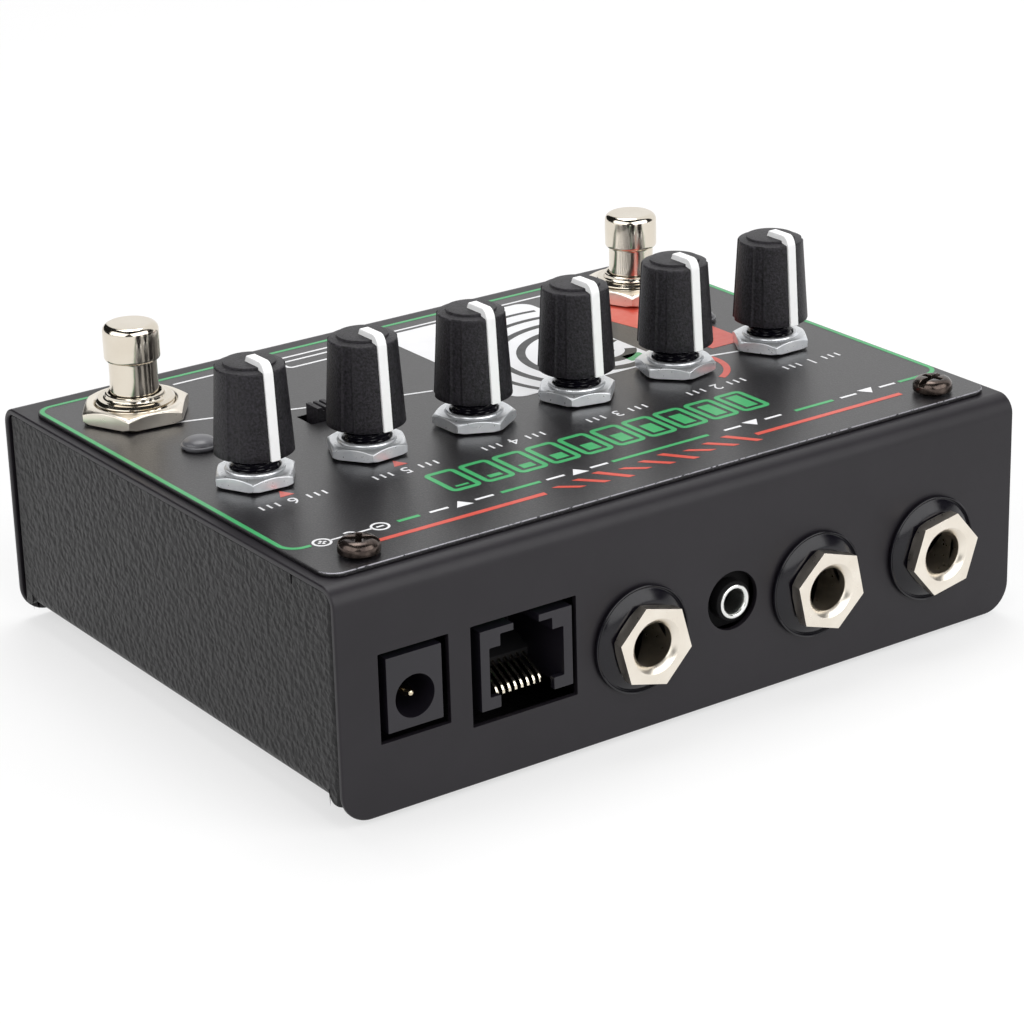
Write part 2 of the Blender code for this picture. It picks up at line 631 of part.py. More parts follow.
def flange():
    """The upright bend at a corner of the chassis, with its free foot and its rounded top."""
    top = CEILING - GAP
    foot = BASE_UNDERSIDE + FLANGE_FOOT_RISE
    start = BASE_EDGE - CHASSIS_BEND
    near = CHASSIS_END - FLANGE_REACH
    corners = [(CHASSIS_END, start), (CHASSIS_END, CHASSIS_EDGE), (near, CHASSIS_EDGE)]
    post = prism(bent_sheet(corners, (CHASSIS_INNER_BEND,), CHASSIS_SHEET), foot, top)
    leg = BASE_EDGE + RELIEF_WIDTH
    slit_top = BASE_UNDERSIDE + CHASSIS_BEND + RELIEF_HEIGHT
    corner = FLANGE_FOOT_CORNER
    slit = [(start - RUN_OUT, foot - RUN_OUT), (leg + corner, foot - RUN_OUT)]
    slit += arc((leg + corner, foot + corner), corner, 270, 180, CORNER_STEPS)
    slit += [(leg, slit_top), (start - RUN_OUT, slit_top)]
    reach = near - RUN_OUT, CHASSIS_END + RUN_OUT
    radius = SHELL_INNER_BEND - GAP
    shoulder = corner_cutter((CHASSIS_EDGE - radius, top - radius), radius, 0, *reach, "X")
    return cut(post, prism(slit, *reach, "X"), shoulder)


def faceplate():
    """The printed plate over the shell's top."""
    outline = rounded_rectangle((-PLATE_END, PLATE_FRONT), (PLATE_END, PLATE_REAR), PLATE_CORNER)
    return cut(prism(outline, PLATE_UNDERSIDE, PLATE_TOP), *top_cutters())


def main_board():
    """The board with two chips, three capacitors and the threaded posts for the faceplate's screws."""
    end = CHASSIS_END - CHASSIS_SHEET - BOARD_EDGE_CLEARANCE
    edge = CHASSIS_EDGE - CHASSIS_SHEET - BOARD_EDGE_CLEARANCE
    board = prism(rounded_rectangle((-end, -edge), (end, edge), BOARD_CORNER), BOARD_UNDERSIDE, BOARD_TOP)
    low = BOARD_TOP - BOARD_PART_SINK
    parts = []
    for x_share, y_share in CHIP_PLACE_SHARES:
        x, y = HALF_LENGTH * x_share, HALF_DEPTH * y_share
        half = CHIP_WIDTH / 2
        parts.append(block((x - half, y - half, low), (x + half, y + half, BOARD_TOP + CHIP_HEIGHT)))
    for x_share, y_share in CAPACITOR_PLACE_SHARES:
        can = prism(polygon(CAPACITOR_RADIUS, SMALL_SIDES), low, BOARD_TOP + CAPACITOR_HEIGHT)
        parts.append(moved(can, (HALF_LENGTH * x_share, HALF_DEPTH * y_share, 0)))
    bores = []
    for x in PLATE_SCREW_XS:
        parts.append(moved(prism(polygon(STANDOFF_RADIUS, 6), low, PARTS_TOP), (x, PLATE_SCREW_Y, 0)))
        bores.append(round_hole(x, PLATE_SCREW_Y, SCREW_HOLE_RADIUS, BOARD_UNDERSIDE - RUN_OUT, CEILING))
    return cut(joined(board, *parts), *bores)


def spoke_ring(radius, height, flute):
    """A ring of a dial, pressed in at its flutes. The first spoke is under the pointer, at +Y."""
    spokes = KNOB_FLUTES * SPOKES_PER_FLUTE
    ring = []
    for i in range(spokes):
        a = math.pi / 2 + math.tau * i / spokes
        r = radius - (flute if i % SPOKES_PER_FLUTE == 0 else 0)
        ring.append((r * math.cos(a), r * math.sin(a), height))
    return ring


def knob():
    """A dial with its flutes, its D-bore and its raised pointer."""
    rim = KNOB_HEIGHT - KNOB_RIM_DROP
    rings = [
        spoke_ring(KNOB_RADIUS, 0, KNOB_FLUTE_DEPTH),
        spoke_ring(KNOB_RIM_RADIUS, rim, KNOB_FLUTE_DEPTH),
        spoke_ring(KNOB_FACE_RADIUS, KNOB_HEIGHT - KNOB_FACE_DROP, 0),
        spoke_ring(KNOB_DISC_RADIUS, KNOB_HEIGHT, 0),
    ]
    depth = SHAFT_REACH + GAP
    bore = prism(polygon(SHAFT_RADIUS + GAP, SMALL_SIDES), -RUN_OUT, depth)
    return cut(joined(lofted(rings), pointer()), flattened(bore, SHAFT_FLAT + GAP, 0, depth))


def pointer():
    """The raised strip from the dial's middle over its rim and down its side."""
    rim = KNOB_HEIGHT - KNOB_RIM_DROP
    top = KNOB_HEIGHT + POINTER_RISE
    outline = [
        (0, KNOB_HEIGHT - POINTER_SINK),
        (0, KNOB_HEIGHT),
        (POINTER_INNER_SLOPE, top),
        (KNOB_FACE_RADIUS, top),
        (KNOB_RIM_RADIUS + POINTER_PROUD, rim + POINTER_SHOULDER),
        (KNOB_RADIUS + POINTER_PROUD, 0),
        (KNOB_RADIUS - POINTER_SINK, 0),
        (KNOB_RIM_RADIUS - POINTER_SINK, rim - POINTER_SINK),
    ]
    return prism(outline, -POINTER_WIDTH / 2, POINTER_WIDTH / 2, "X")


def pot_body():
    """A pot's housing and threaded bushing, from the board up through the faceplate."""
    low = (-POT_BODY_WIDTH / 2, -POT_BODY_DEPTH / 2, PARTS_FLOOR)
    high = (POT_BODY_WIDTH / 2, POT_BODY_DEPTH / 2, PARTS_TOP)
    top = PARTS_TOP + BUSHING_LENGTH
    profile = [
        (0, top),
        (BUSHING_RADIUS - BUSHING_EDGE, top),
        (BUSHING_RADIUS, top - BUSHING_EDGE),
        (BUSHING_RADIUS, PARTS_FLOOR + POT_FLOOR),
        (0, PARTS_FLOOR + POT_FLOOR),
    ]
    housing = joined(edged_block(low, high, POT_BODY_EDGE), turned(profile, ROUND_SIDES))
    bore = prism(polygon(SHAFT_NECK_RADIUS + GAP, SMALL_SIDES), PARTS_FLOOR + POT_FLOOR, top + RUN_OUT)
    return cut(housing, bore)


def pot_shaft():
    """A pot's D-shaft, from its wiper up into the dial. Its origin is at the dial's underside."""
    foot = PARTS_FLOOR + POT_FLOOR + GAP - KNOB_SEAT
    top = SHAFT_REACH
    profile = [
        (0, top),
        (SHAFT_RADIUS - SHAFT_EDGE, top),
        (SHAFT_RADIUS, top - SHAFT_EDGE),
        (SHAFT_RADIUS, 0),
        (SHAFT_NECK_RADIUS, 0),
        (SHAFT_NECK_RADIUS, foot),
        (0, foot),
    ]
    return flattened(turned(profile, SMALL_SIDES), SHAFT_FLAT, foot, top)


def switch_body():
    """A foot switch's housing and threaded bushing."""
    half = SWITCH_BODY_WIDTH / 2
    housing = edged_block((-half, -half, PARTS_FLOOR), (half, half, PARTS_TOP), SWITCH_BODY_EDGE)
    shoulder = PARTS_TOP + SWITCH_BUSHING_LENGTH
    floor = PARTS_FLOOR + SWITCH_FLOOR
    profile = [
        (0, SWITCH_MOUTH),
        (SWITCH_COLLAR_RADIUS, SWITCH_MOUTH),
        (SWITCH_COLLAR_RADIUS, shoulder),
        (SWITCH_BUSHING_RADIUS - SWITCH_BUSHING_EDGE, shoulder),
        (SWITCH_BUSHING_RADIUS, shoulder - SWITCH_BUSHING_EDGE),
        (SWITCH_BUSHING_RADIUS, floor),
        (0, floor),
    ]
    bore = prism(polygon(PLUNGER_NECK_RADIUS + GAP, ROUND_SIDES), floor, SWITCH_MOUTH + RUN_OUT)
    return cut(joined(housing, turned(profile, ROUND_SIDES)), bore)


def plunger():
    """A foot switch's button. Its origin is at the mouth of the bushing, where it slides."""
    foot = PARTS_FLOOR + SWITCH_FLOOR + SWITCH_TRAVEL + GAP - SWITCH_MOUTH
    cap = PLUNGER_NECK_SHOWING
    top = cap + PLUNGER_CAP_HEIGHT
    flat = PLUNGER_CAP_RADIUS - PLUNGER_TOP_ROUND
    profile = [
        (0, top),
        *quarter_ellipse(flat, PLUNGER_CAP_RADIUS, top - PLUNGER_TOP_ROUND, top),
        (PLUNGER_CAP_RADIUS, cap + PLUNGER_LOWER_EDGE),
        (PLUNGER_CAP_RADIUS - PLUNGER_LOWER_EDGE, cap),
        (PLUNGER_NECK_RADIUS, cap),
        (PLUNGER_NECK_RADIUS, foot),
        (0, foot),
    ]
    return turned(profile, ROUND_SIDES)


def light():
    """A status light's lens: a low dome over the faceplate and a stem down to the board."""
    rim = NUT_SEAT + LIGHT_RIM_HEIGHT
    profile = [
        *quarter_ellipse(0, LIGHT_DOME_RADIUS, rim, rim + LIGHT_DOME_HEIGHT),
        (LIGHT_RADIUS, rim),
        (LIGHT_RADIUS, NUT_SEAT),
        (LIGHT_STEM_RADIUS, NUT_SEAT),
        (LIGHT_STEM_RADIUS, PARTS_FLOOR),
        (0, PARTS_FLOOR),
    ]
    return turned(profile, SMALL_SIDES)


def slide_body():
    """The slide switch's housing, open above for its lever."""
    long, wide = SLOT_LENGTH / 2, SLOT_WIDTH / 2
    wall = SLIDE_BODY_WALL
    housing = block((-long - wall, -wide - wall, PARTS_FLOOR), (long + wall, wide + wall, PARTS_TOP))
    return cut(housing, block((-long, -wide, PARTS_TOP - SLIDE_CAVITY_DEPTH), (long, wide, CEILING)))


def slide_lever():
    """The slide switch's ridged lever. Its origin is on the slot's floor, in its rest place."""
    foot = PARTS_TOP - SLIDE_CAVITY_DEPTH + GAP
    top = PLATE_TOP + ACTUATOR_PROUD - foot
    long, wide = ACTUATOR_LENGTH / 2, ACTUATOR_WIDTH / 2
    pitch = ACTUATOR_LENGTH / ACTUATOR_RIDGES
    grooves = []
    for i in range(1, ACTUATOR_RIDGES):
        x = pitch * i - long
        half = pitch * ACTUATOR_GROOVE_SHARE / 2
        low = (x - half, -wide - RUN_OUT, top - ACTUATOR_GROOVE_DEPTH)
        grooves.append(block(low, (x + half, wide + RUN_OUT, top + RUN_OUT)))
    return cut(block((-long, -wide, 0), (long, wide, top)), *grooves)


def plate_screw():
    """A pan-head screw with a combined recess, from above the faceplate down into its post."""
    head = PLATE_SCREW_HEAD_HEIGHT
    rim = NUT_SEAT + head * PLATE_SCREW_HEAD_EDGE_SHARE
    flat = PLATE_SCREW_HEAD_RADIUS * PLATE_SCREW_HEAD_TOP_SHARE
    tip = BOARD_UNDERSIDE + PLATE_SCREW_TIP_RISE
    profile = [
        (0, NUT_SEAT + head),
        *quarter_ellipse(flat, PLATE_SCREW_HEAD_RADIUS, rim, NUT_SEAT + head),
        (PLATE_SCREW_HEAD_RADIUS, NUT_SEAT),
        (SCREW_RADIUS, NUT_SEAT),
        (SCREW_RADIUS, tip),
        (0, tip),
    ]
    floor, over = NUT_SEAT + head - RECESS_DEPTH, NUT_SEAT + head + RUN_OUT
    half, reach = RECESS_WIDTH / 2, RECESS_LENGTH / 2
    slot = block((-reach, -half, floor), (reach, half, over))
    cross = block((-half, -reach / 2, floor), (half, reach / 2, over))
    return cut(turned(profile, ROUND_SIDES), slot, cross)


def base_screw():
    """A pan-head screw through the base up into a bracket."""
    seat = BASE_UNDERSIDE - GAP
    face = seat - BASE_SCREW_HEAD_HEIGHT
    tip = BRACKET_UNDERSIDE + SHELL_SHEET + BASE_SCREW_TIP_REACH
    profile = [
        (0, tip),
        (SCREW_RADIUS, tip),
        (SCREW_RADIUS, seat),
        (BASE_SCREW_HEAD_RADIUS, seat),
        (BASE_SCREW_HEAD_RADIUS, (seat + face) / 2),
        (BASE_SCREW_HEAD_RADIUS * BASE_SCREW_HEAD_TOP_SHARE, face),
        (0, face),
    ]
    half, reach = RECESS_WIDTH / 2, BASE_SCREW_HEAD_RADIUS / 2
    slot = block((-reach, -half, face - RUN_OUT), (reach, half, face + RECESS_DEPTH))
    cross = block((-half, -reach, face - RUN_OUT), (half, reach, face + RECESS_DEPTH))
    return cut(turned(profile, ROUND_SIDES), slot, cross)


def rubber_foot():
    """A stuck-on foot under the base."""
    top = BASE_UNDERSIDE - GAP
    return turned([(0, top), (FOOT_TOP_RADIUS, top), (FOOT_RADIUS, 0), (0, 0)], ROUND_SIDES)


def jack_body():
    """A quarter-inch socket's housing, made along +Z with its face at the wall's inside."""
    face = PARTS_BACK - HALF_DEPTH
    low = (-JACK_WIDTH / 2, -JACK_HEIGHT / 2, face - JACK_LENGTH)
    housing = edged_block(low, (JACK_WIDTH / 2, JACK_HEIGHT / 2, face), JACK_EDGE)
    bore = [
        (0, face + RUN_OUT),
        (JACK_HOLE_RADIUS, face + RUN_OUT),
        (JACK_HOLE_RADIUS, -FERRULE_TUBE_REACH - GAP),
        (JACK_BORE_RADIUS, -FERRULE_TUBE_REACH - GAP),
        (JACK_BORE_RADIUS, face - JACK_LENGTH + JACK_BACK_WALL),
        (0, face - JACK_LENGTH + JACK_BACK_WALL),
    ]
    return cut(housing, turned(bore, ROUND_SIDES))


def collar():
    """The dished plastic washer between the wall and the ferrule."""
    top = FERRULE_PROUD - FERRULE_HEAD_THICKNESS - GAP
    lip = GAP + COLLAR_LIP_THICKNESS
    profile = [
        (JACK_HOLE_RADIUS, top),
        (COLLAR_TOP_RADIUS, top),
        (COLLAR_CONE_RADIUS, lip),
        (COLLAR_RADIUS, lip),
        (COLLAR_RADIUS, GAP),
        (JACK_HOLE_RADIUS, GAP),
    ]
    return turned(profile, FINE_SIDES)


def ferrule():
    """The hexagon-headed tube that clamps a socket to the wall, its first corner along +X."""
    under = FERRULE_PROUD - FERRULE_HEAD_THICKNESS
    head = prism(polygon(FERRULE_ACROSS / math.sqrt(3), 6), under, FERRULE_PROUD)
    profile = [
        (0, under + FERRULE_CHAMFER),
        (FERRULE_TUBE_RADIUS, under + FERRULE_CHAMFER),
        (FERRULE_TUBE_RADIUS, -FERRULE_TUBE_REACH),
        (0, -FERRULE_TUBE_REACH),
    ]
    mouth = FERRULE_BORE_RADIUS + FERRULE_CHAMFER
    bore = [
        (0, FERRULE_PROUD + RUN_OUT),
        (mouth, FERRULE_PROUD + RUN_OUT),
        (mouth, FERRULE_PROUD),
        (FERRULE_BORE_RADIUS, FERRULE_PROUD - FERRULE_CHAMFER),
        (FERRULE_BORE_RADIUS, -FERRULE_TUBE_REACH - RUN_OUT),
        (0, -FERRULE_TUBE_REACH - RUN_OUT),
    ]
    return cut(joined(head, turned(profile, ROUND_SIDES)), turned(bore, ROUND_SIDES))


def mini_bore_radius():
    return MINI_NOSE_RADIUS - MINI_NOSE_WALL


def mini_body():
    """The mini socket's housing and round nose, made along +Z. Local -Y is up."""
    face = PARTS_BACK - HALF_DEPTH
    low = (-MINI_WIDTH / 2, -MINI_DROP, face - MINI_LENGTH)
    housing = block(low, (MINI_WIDTH / 2, MINI_HEIGHT - MINI_DROP, face))
    nose = prism(polygon(MINI_NOSE_RADIUS, ROUND_SIDES), face - MINI_NOSE_WALL, MINI_NOSE_PROUD)
    deep = -MINI_SLEEVE_REACH - GAP
    bore = prism(polygon(mini_bore_radius(), ROUND_SIDES), deep, MINI_NOSE_PROUD + RUN_OUT)
    return cut(joined(housing, nose), bore)


def mini_sleeve():
    """The mini socket's metal sleeve, with a rim over the nose."""
    outer = mini_bore_radius() - GAP
    seat = MINI_NOSE_PROUD + GAP
    rim = mini_bore_radius() + MINI_SLEEVE_LIP
    front = seat + MINI_SLEEVE_RIM
    inner = outer - MINI_SLEEVE_WALL
    profile = [(inner, front), (rim, front), (rim, seat), (outer, seat)]
    profile += [(outer, -MINI_SLEEVE_REACH), (inner, -MINI_SLEEVE_REACH)]
    return turned(profile, ROUND_SIDES)


def power_socket():
    """The power socket's housing with its pin, which stands in the bore."""
    low = (-POWER_WIDTH / 2, -POWER_LENGTH, 0)
    housing = block(low, (POWER_WIDTH / 2, 0, POWER_HEIGHT))
    tip = -POWER_PIN_RECESS
    bore = [
        (0, RUN_OUT),
        (POWER_BORE_RADIUS, RUN_OUT),
        (POWER_BORE_RADIUS, -POWER_BORE_DEPTH),
        (POWER_PIN_RADIUS, -POWER_BORE_DEPTH),
        (POWER_PIN_RADIUS, tip - POWER_PIN_RADIUS / 2),
        (POWER_PIN_RADIUS / 2, tip),
        (0, tip),
    ]
    return cut(housing, moved(turned(bore, ROUND_SIDES), (0, 0, POWER_AXIS_RISE), ALONG_Y))


def modular_body():
    """The modular socket's housing with its stepped opening and the slots above and below it."""
    half = MODULAR_WIDTH / 2
    housing = block((-half, -MODULAR_LENGTH, 0), (half, 0, MODULAR_HEIGHT))
    floor = MODULAR_OPENING_RISE
    ceiling = floor + MODULAR_OPENING_HEIGHT
    step = ceiling + MODULAR_STEP_HEIGHT
    wide, narrow = MODULAR_OPENING_WIDTH / 2, MODULAR_STEP_WIDTH / 2
    opening = [(-wide, floor), (wide, floor), (wide, ceiling), (narrow, ceiling)]
    opening += [(narrow, step), (-narrow, step), (-narrow, ceiling), (-wide, ceiling)]
    latch = MODULAR_LATCH_WIDTH / 2
    notch = MODULAR_NOTCH_WIDTH / 2
    middle = (floor + ceiling) / 2
    return cut(
        housing,
        prism(opening, -MODULAR_DEPTH, RUN_OUT, "Y"),
        block((-latch, -MODULAR_NOTCH_DEPTH, middle), (latch, RUN_OUT, MODULAR_HEIGHT + RUN_OUT)),
        block((-notch, -MODULAR_NOTCH_DEPTH, -RUN_OUT), (notch, RUN_OUT, middle)),
    )


def modular_contacts():
    """The eight slanting spring wires and the bar that holds them, at the back of the opening."""
    back = GAP - MODULAR_DEPTH
    front = back + CONTACT_BAR_SIZE
    floor = MODULAR_OPENING_RISE + GAP
    span = (CONTACT_COUNT - 1) * CONTACT_PITCH / 2 + CONTACT_WIDTH
    wide = CONTACT_WIDTH / 2
    bar = block((-span, back, floor), (span, front, floor + CONTACT_RISE + CONTACT_BAR_SIZE))
    wires = []
    for i in range(CONTACT_COUNT):
        x = (i - (CONTACT_COUNT - 1) / 2) * CONTACT_PITCH
        high = floor + CONTACT_RISE
        root = back + CONTACT_BAR_SIZE / 2
        outline = [
            (root, high),
            (-CONTACT_TIP_RECESS, floor),
            (-CONTACT_TIP_RECESS, floor + CONTACT_WIDTH),
            (root, high + CONTACT_WIDTH),
        ]
        wires.append(prism(outline, x - wide, x + wide, "X"))
    return joined(bar, *wires)


def clear_scene():
    for thing in list(bpy.data.objects):
        bpy.data.objects.remove(thing)


def add_origin():
    """The empty that carries every piece, set so that the outline is centred front to back."""
    origin = bpy.data.objects.new("pedal_origin", None)
    origin.location = (0, -FERRULE_PROUD / 2, 0)
    bpy.context.scene.collection.objects.link(origin)


def add_case(black_paint, textured_paint, rubber, screw_steel):
    """Shell, chassis, feet and the screws under the base."""
    piece("shell", shell(), black_paint)
    piece("chassis", chassis(), textured_paint)
    foot_x = CHASSIS_END - FOOT_INSET - FOOT_RADIUS
    foot_y = CHASSIS_EDGE - FOOT_INSET - FOOT_RADIUS
    places = [(x, y) for x in (foot_x, -foot_x) for y in (foot_y, -foot_y)]
    mesh = rubber_foot()
    for i, (x, y) in enumerate(places, 1):
        piece(f"rubber_foot_{i}", mesh, rubber, (x, y, 0))
    mesh = base_screw()
    for i, (x, y) in enumerate(base_screw_places(), 1):
        piece(f"base_screw_{i}", mesh, screw_steel, (x, y, 0))


def add_top(print_black, board_green, screw_steel):
    """Faceplate, its screws and the board under it."""
    piece("faceplate", faceplate(), print_black)
    piece("main_board", main_board(), board_green)
    mesh = plate_screw()
    for i, x in enumerate(PLATE_SCREW_XS, 1):
        piece(f"faceplate_screw_{i}", mesh, screw_steel, (x, PLATE_SCREW_Y, 0))


def add_dials(black_plastic, nickel):
    """Six pots with their nuts, shafts and dials."""
    meshes = knob(), pot_body(), pot_shaft(), nut(POT_NUT_ACROSS, POT_NUT_THICKNESS, BUSHING_HOLE_RADIUS)
    dial, body, shaft, hexagon = meshes
    for i, (x, turn) in enumerate(zip(KNOB_XS, POT_NUT_TURNS), 1):
        piece(f"knob_{i}", dial, black_plastic, (x, KNOB_Y, KNOB_SEAT))
        piece(f"pot_shaft_{i}", shaft, nickel, (x, KNOB_Y, KNOB_SEAT))
        piece(f"pot_body_{i}", body, black_plastic, (x, KNOB_Y, 0))
        piece(f"pot_nut_{i}", hexagon, nickel, (x, KNOB_Y, NUT_SEAT), turn)


def add_foot_controls(black_plastic, nickel, clear_plastic):
    """Both foot switches, the lights behind them and the slide switch."""
    hexagon = nut(SWITCH_NUT_ACROSS, SWITCH_NUT_THICKNESS, SWITCH_HOLE_RADIUS)
    body, button, lens = switch_body(), plunger(), light()
    places = zip(SWITCH_XS, LIGHT_XS, PLUNGER_DROPS)
    for i, (x, light_x, drop) in enumerate(places, 1):
        piece(f"footswitch_plunger_{i}", button, nickel, (x, SWITCH_Y, SWITCH_MOUTH - drop))
        piece(f"footswitch_body_{i}", body, nickel, (x, SWITCH_Y, 0))
        piece(f"footswitch_nut_{i}", hexagon, nickel, (x, SWITCH_Y, NUT_SEAT), SWITCH_NUT_TURN)
        piece(f"status_light_{i}", lens, clear_plastic, (light_x, SMALL_ROW_Y, 0))
    piece("slide_switch_body", slide_body(), nickel, (SLIDE_X, SMALL_ROW_Y, 0))
    rest = (SLIDE_X + SLIDE_TRAVEL / 2, SMALL_ROW_Y, PARTS_TOP - SLIDE_CAVITY_DEPTH + GAP)
    piece("slide_switch_lever", slide_lever(), black_plastic, rest)


def add_sockets(black_plastic, nickel, gold):
    """Three jack sockets with collars and ferrules, the mini, power and modular sockets."""
    body, ring, tube = jack_body(), collar(), ferrule()
    for i, (x, turn) in enumerate(zip(JACK_XS, FERRULE_TURNS), 1):
        for name, mesh, material, spin in (
            ("body", body, black_plastic, 0),
            ("collar", ring, black_plastic, 0),
            ("ferrule", tube, nickel, turn),
        ):
            made = piece(f"jack_{name}_{i}", mesh, material, (x, HALF_DEPTH, JACK_AXIS))
            made.rotation_euler = (ALONG_Y @ Matrix.Rotation(math.radians(spin), 4, "Z")).to_euler()
    mini_place = (MINI_X, HALF_DEPTH, MINI_AXIS)
    for made in (
        piece("mini_jack_body", mini_body(), black_plastic, mini_place),
        piece("mini_jack_sleeve", mini_sleeve(), nickel, mini_place),
    ):
        made.rotation_euler = ALONG_Y.to_euler()
    piece("power_socket", power_socket(), black_plastic, (POWER_X, HALF_DEPTH, POWER_UNDERSIDE))
    place = (MODULAR_X, HALF_DEPTH, MODULAR_UNDERSIDE)
    piece("modular_socket_body", modular_body(), black_plastic, place)
    piece("modular_socket_contacts", modular_contacts(), gold, place)


def main():
    clear_scene()
    add_origin()
    black_paint = finish("satin black enamel on steel", (0.022, 0.021, 0.023), 0.45)
    textured_paint = finish("textured black enamel on steel", (0.03, 0.03, 0.03), 0.6)
    print_black = finish("satin black printed plate", (0.018, 0.017, 0.018), 0.4)
    black_plastic = finish("black moulded plastic", (0.015, 0.014, 0.016), 0.45)
    nickel = finish("nickel plate", (0.72, 0.68, 0.62), 0.2, 1)
    gold = finish("gold-plated spring wire", (0.83, 0.62, 0.3), 0.25, 1)
    screw_steel = finish("burnished screw steel", (0.08, 0.06, 0.055), 0.4, 1)
    rubber = finish("black rubber", (0.012, 0.012, 0.012), 0.85)
    board_green = finish("green solder mask", (0.01, 0.09, 0.03), 0.4)
    clear_plastic = finish("frosted light lens", (0.35, 0.36, 0.35), 0.35)
    add_case(black_paint, textured_paint, rubber, screw_steel)
    add_top(print_black, board_green, screw_steel)
    add_dials(black_plastic, nickel)
    add_foot_controls(black_plastic, nickel, clear_plastic)
    add_sockets(black_plastic, nickel, gold)


main()
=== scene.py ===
"""Looks of a tape echo simulator pedal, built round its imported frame.

Sizes of the pedal are in millimetres, and the studio's in metres. X runs along the dial row, Y towards
the socket wall from the middle of the shell, and Z up from the surface the pedal stands on. One matrix
takes finished meshes to the frame.
"""

import json
import logging
import math
from collections.abc import Iterable, Sequence
from dataclasses import dataclass, field
from enum import Enum

import bmesh
import bpy
from bpy.types import Material, Mesh, Node, NodeSocket, NodeTree, Object
from mathutils import Matrix, Vector

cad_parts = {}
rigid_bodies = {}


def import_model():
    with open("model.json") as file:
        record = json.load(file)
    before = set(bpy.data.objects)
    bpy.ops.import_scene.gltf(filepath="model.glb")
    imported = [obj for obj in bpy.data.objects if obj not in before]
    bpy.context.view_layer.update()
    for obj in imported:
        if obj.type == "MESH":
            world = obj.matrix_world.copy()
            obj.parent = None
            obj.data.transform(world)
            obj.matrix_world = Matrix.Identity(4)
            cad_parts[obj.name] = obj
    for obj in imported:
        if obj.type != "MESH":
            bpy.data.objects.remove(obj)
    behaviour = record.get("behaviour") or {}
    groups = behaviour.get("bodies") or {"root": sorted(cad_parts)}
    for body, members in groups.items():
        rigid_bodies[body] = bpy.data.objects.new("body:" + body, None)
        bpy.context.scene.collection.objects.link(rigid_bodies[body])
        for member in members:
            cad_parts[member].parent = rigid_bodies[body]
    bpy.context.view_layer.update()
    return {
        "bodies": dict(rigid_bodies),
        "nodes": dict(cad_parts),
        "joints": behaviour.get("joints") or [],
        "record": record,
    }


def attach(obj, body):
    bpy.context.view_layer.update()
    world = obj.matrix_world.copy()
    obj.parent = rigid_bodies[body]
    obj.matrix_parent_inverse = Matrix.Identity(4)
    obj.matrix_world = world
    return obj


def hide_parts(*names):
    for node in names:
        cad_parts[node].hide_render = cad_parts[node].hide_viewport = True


LOG = logging.getLogger("pedal")
MM = 0.001
ROW_SHIFT = -1.95  # the frame's Y starts in the middle of the outline, sockets' nuts included
TO_FRAME = Matrix.Translation((0, ROW_SHIFT * MM, 0)) @ Matrix.Scale(MM, 4)
RUN_OUT = 2.0  # how far a cutter runs past what it cuts
SINK = 0.01  # how far a print or a welded part is let into what carries it
MERGE = 0.0005  # points nearer than this are one
ALONG_Y = Matrix.Rotation(math.radians(-90), 4, "X")  # a piece made along +Z then points along +Y
SHARP_ANGLE = math.radians(32)
FLAT_ANGLE = math.radians(0.5)
WHITE = (1, 1, 1, 1)

Point = tuple[float, float]
Place = Sequence[float]


class Body(Enum):
    """Bodies of the frame that have one name each; dials and foot buttons add their number."""

    CASE = "case"
    LEVER = "slide_lever"


class Slot(Enum):
    """The record's material slots."""

    ENAMEL = "case_enamel"
    TEXTURED = "textured_enamel"
    PLATE = "printed_plate"
    BOARD = "circuit_board"
    KNOB = "knob_plastic"
    HOUSING = "housing_plastic"
    COLLAR = "collar_plastic"
    SHAFT = "shaft_metal"
    BRIGHT = "bright_nickel"
    WARM = "warm_nickel"
    GOLD = "contact_gold"
    SCREW = "screw_steel"
    LENS = "light_lens"
    RUBBER = "foot_rubber"


class Axis(Enum):
    """The way a prism is pushed, as the order that turns an outline's point and the place along it to XYZ."""

    X = (2, 0, 1)
    Y = (0, 2, 1)
    Z = (0, 1, 2)


@dataclass(frozen=True)
class Levels:
    """Heights above the surface, and the shell's reach, shared by all sub-assemblies."""

    shell_foot: float = 1.0
    base_under: float = 3.3
    jack_axis: float = 15.3
    parts_floor: float = 26.1
    parts_foot: float = 33.2
    parts_top: float = 33.6
    ceiling: float = 34.7
    shell_top: float = 35.65
    plate_under: float = 35.67
    plate_top: float = 36.35
    nut_seat: float = 36.65
    knob_seat: float = 41.0
    switch_mouth: float = 40.4
    half_length: float = 60.8
    half_depth: float = 47.35
    wall_inside: float = 46.4


@dataclass(frozen=True)
class Layout:
    """Places of the controls on the top and of the sockets in the wall."""

    knob_xs: tuple[float, ...] = tuple(48.0928 - 18.93312 * i for i in range(6))
    knob_y: float = 6.8658
    switch_xs: tuple[float, ...] = (47.9104, -45.8432)
    switch_y: float = -28.41
    light_xs: tuple[float, ...] = (47.424, -45.7216)
    small_y: float = -10.2039
    slide_x: float = 24.8976
    plate_screw_xs: tuple[float, ...] = (51.5, -51.5)
    plate_screw_y: float = 39.4
    jack_xs: tuple[float, ...] = (10.3968, -21.8029, -44.2016)
    mini_x: float = -6.40224
    mini_z: float = 16.6
    power_x: float = 48.59744
    power_z: float = 17.3
    modular_cutout_x: float = 30.37568
    modular_x: float = 29.97568
    modular_under: float = 11.57


LEVEL = Levels()
PLACE = Layout()


# Meshes


def steps(start: float, end: float, count: int) -> list[float]:
    """Evenly spaced numbers, both ends included."""
    return [start + (end - start) * i / count for i in range(count + 1)]


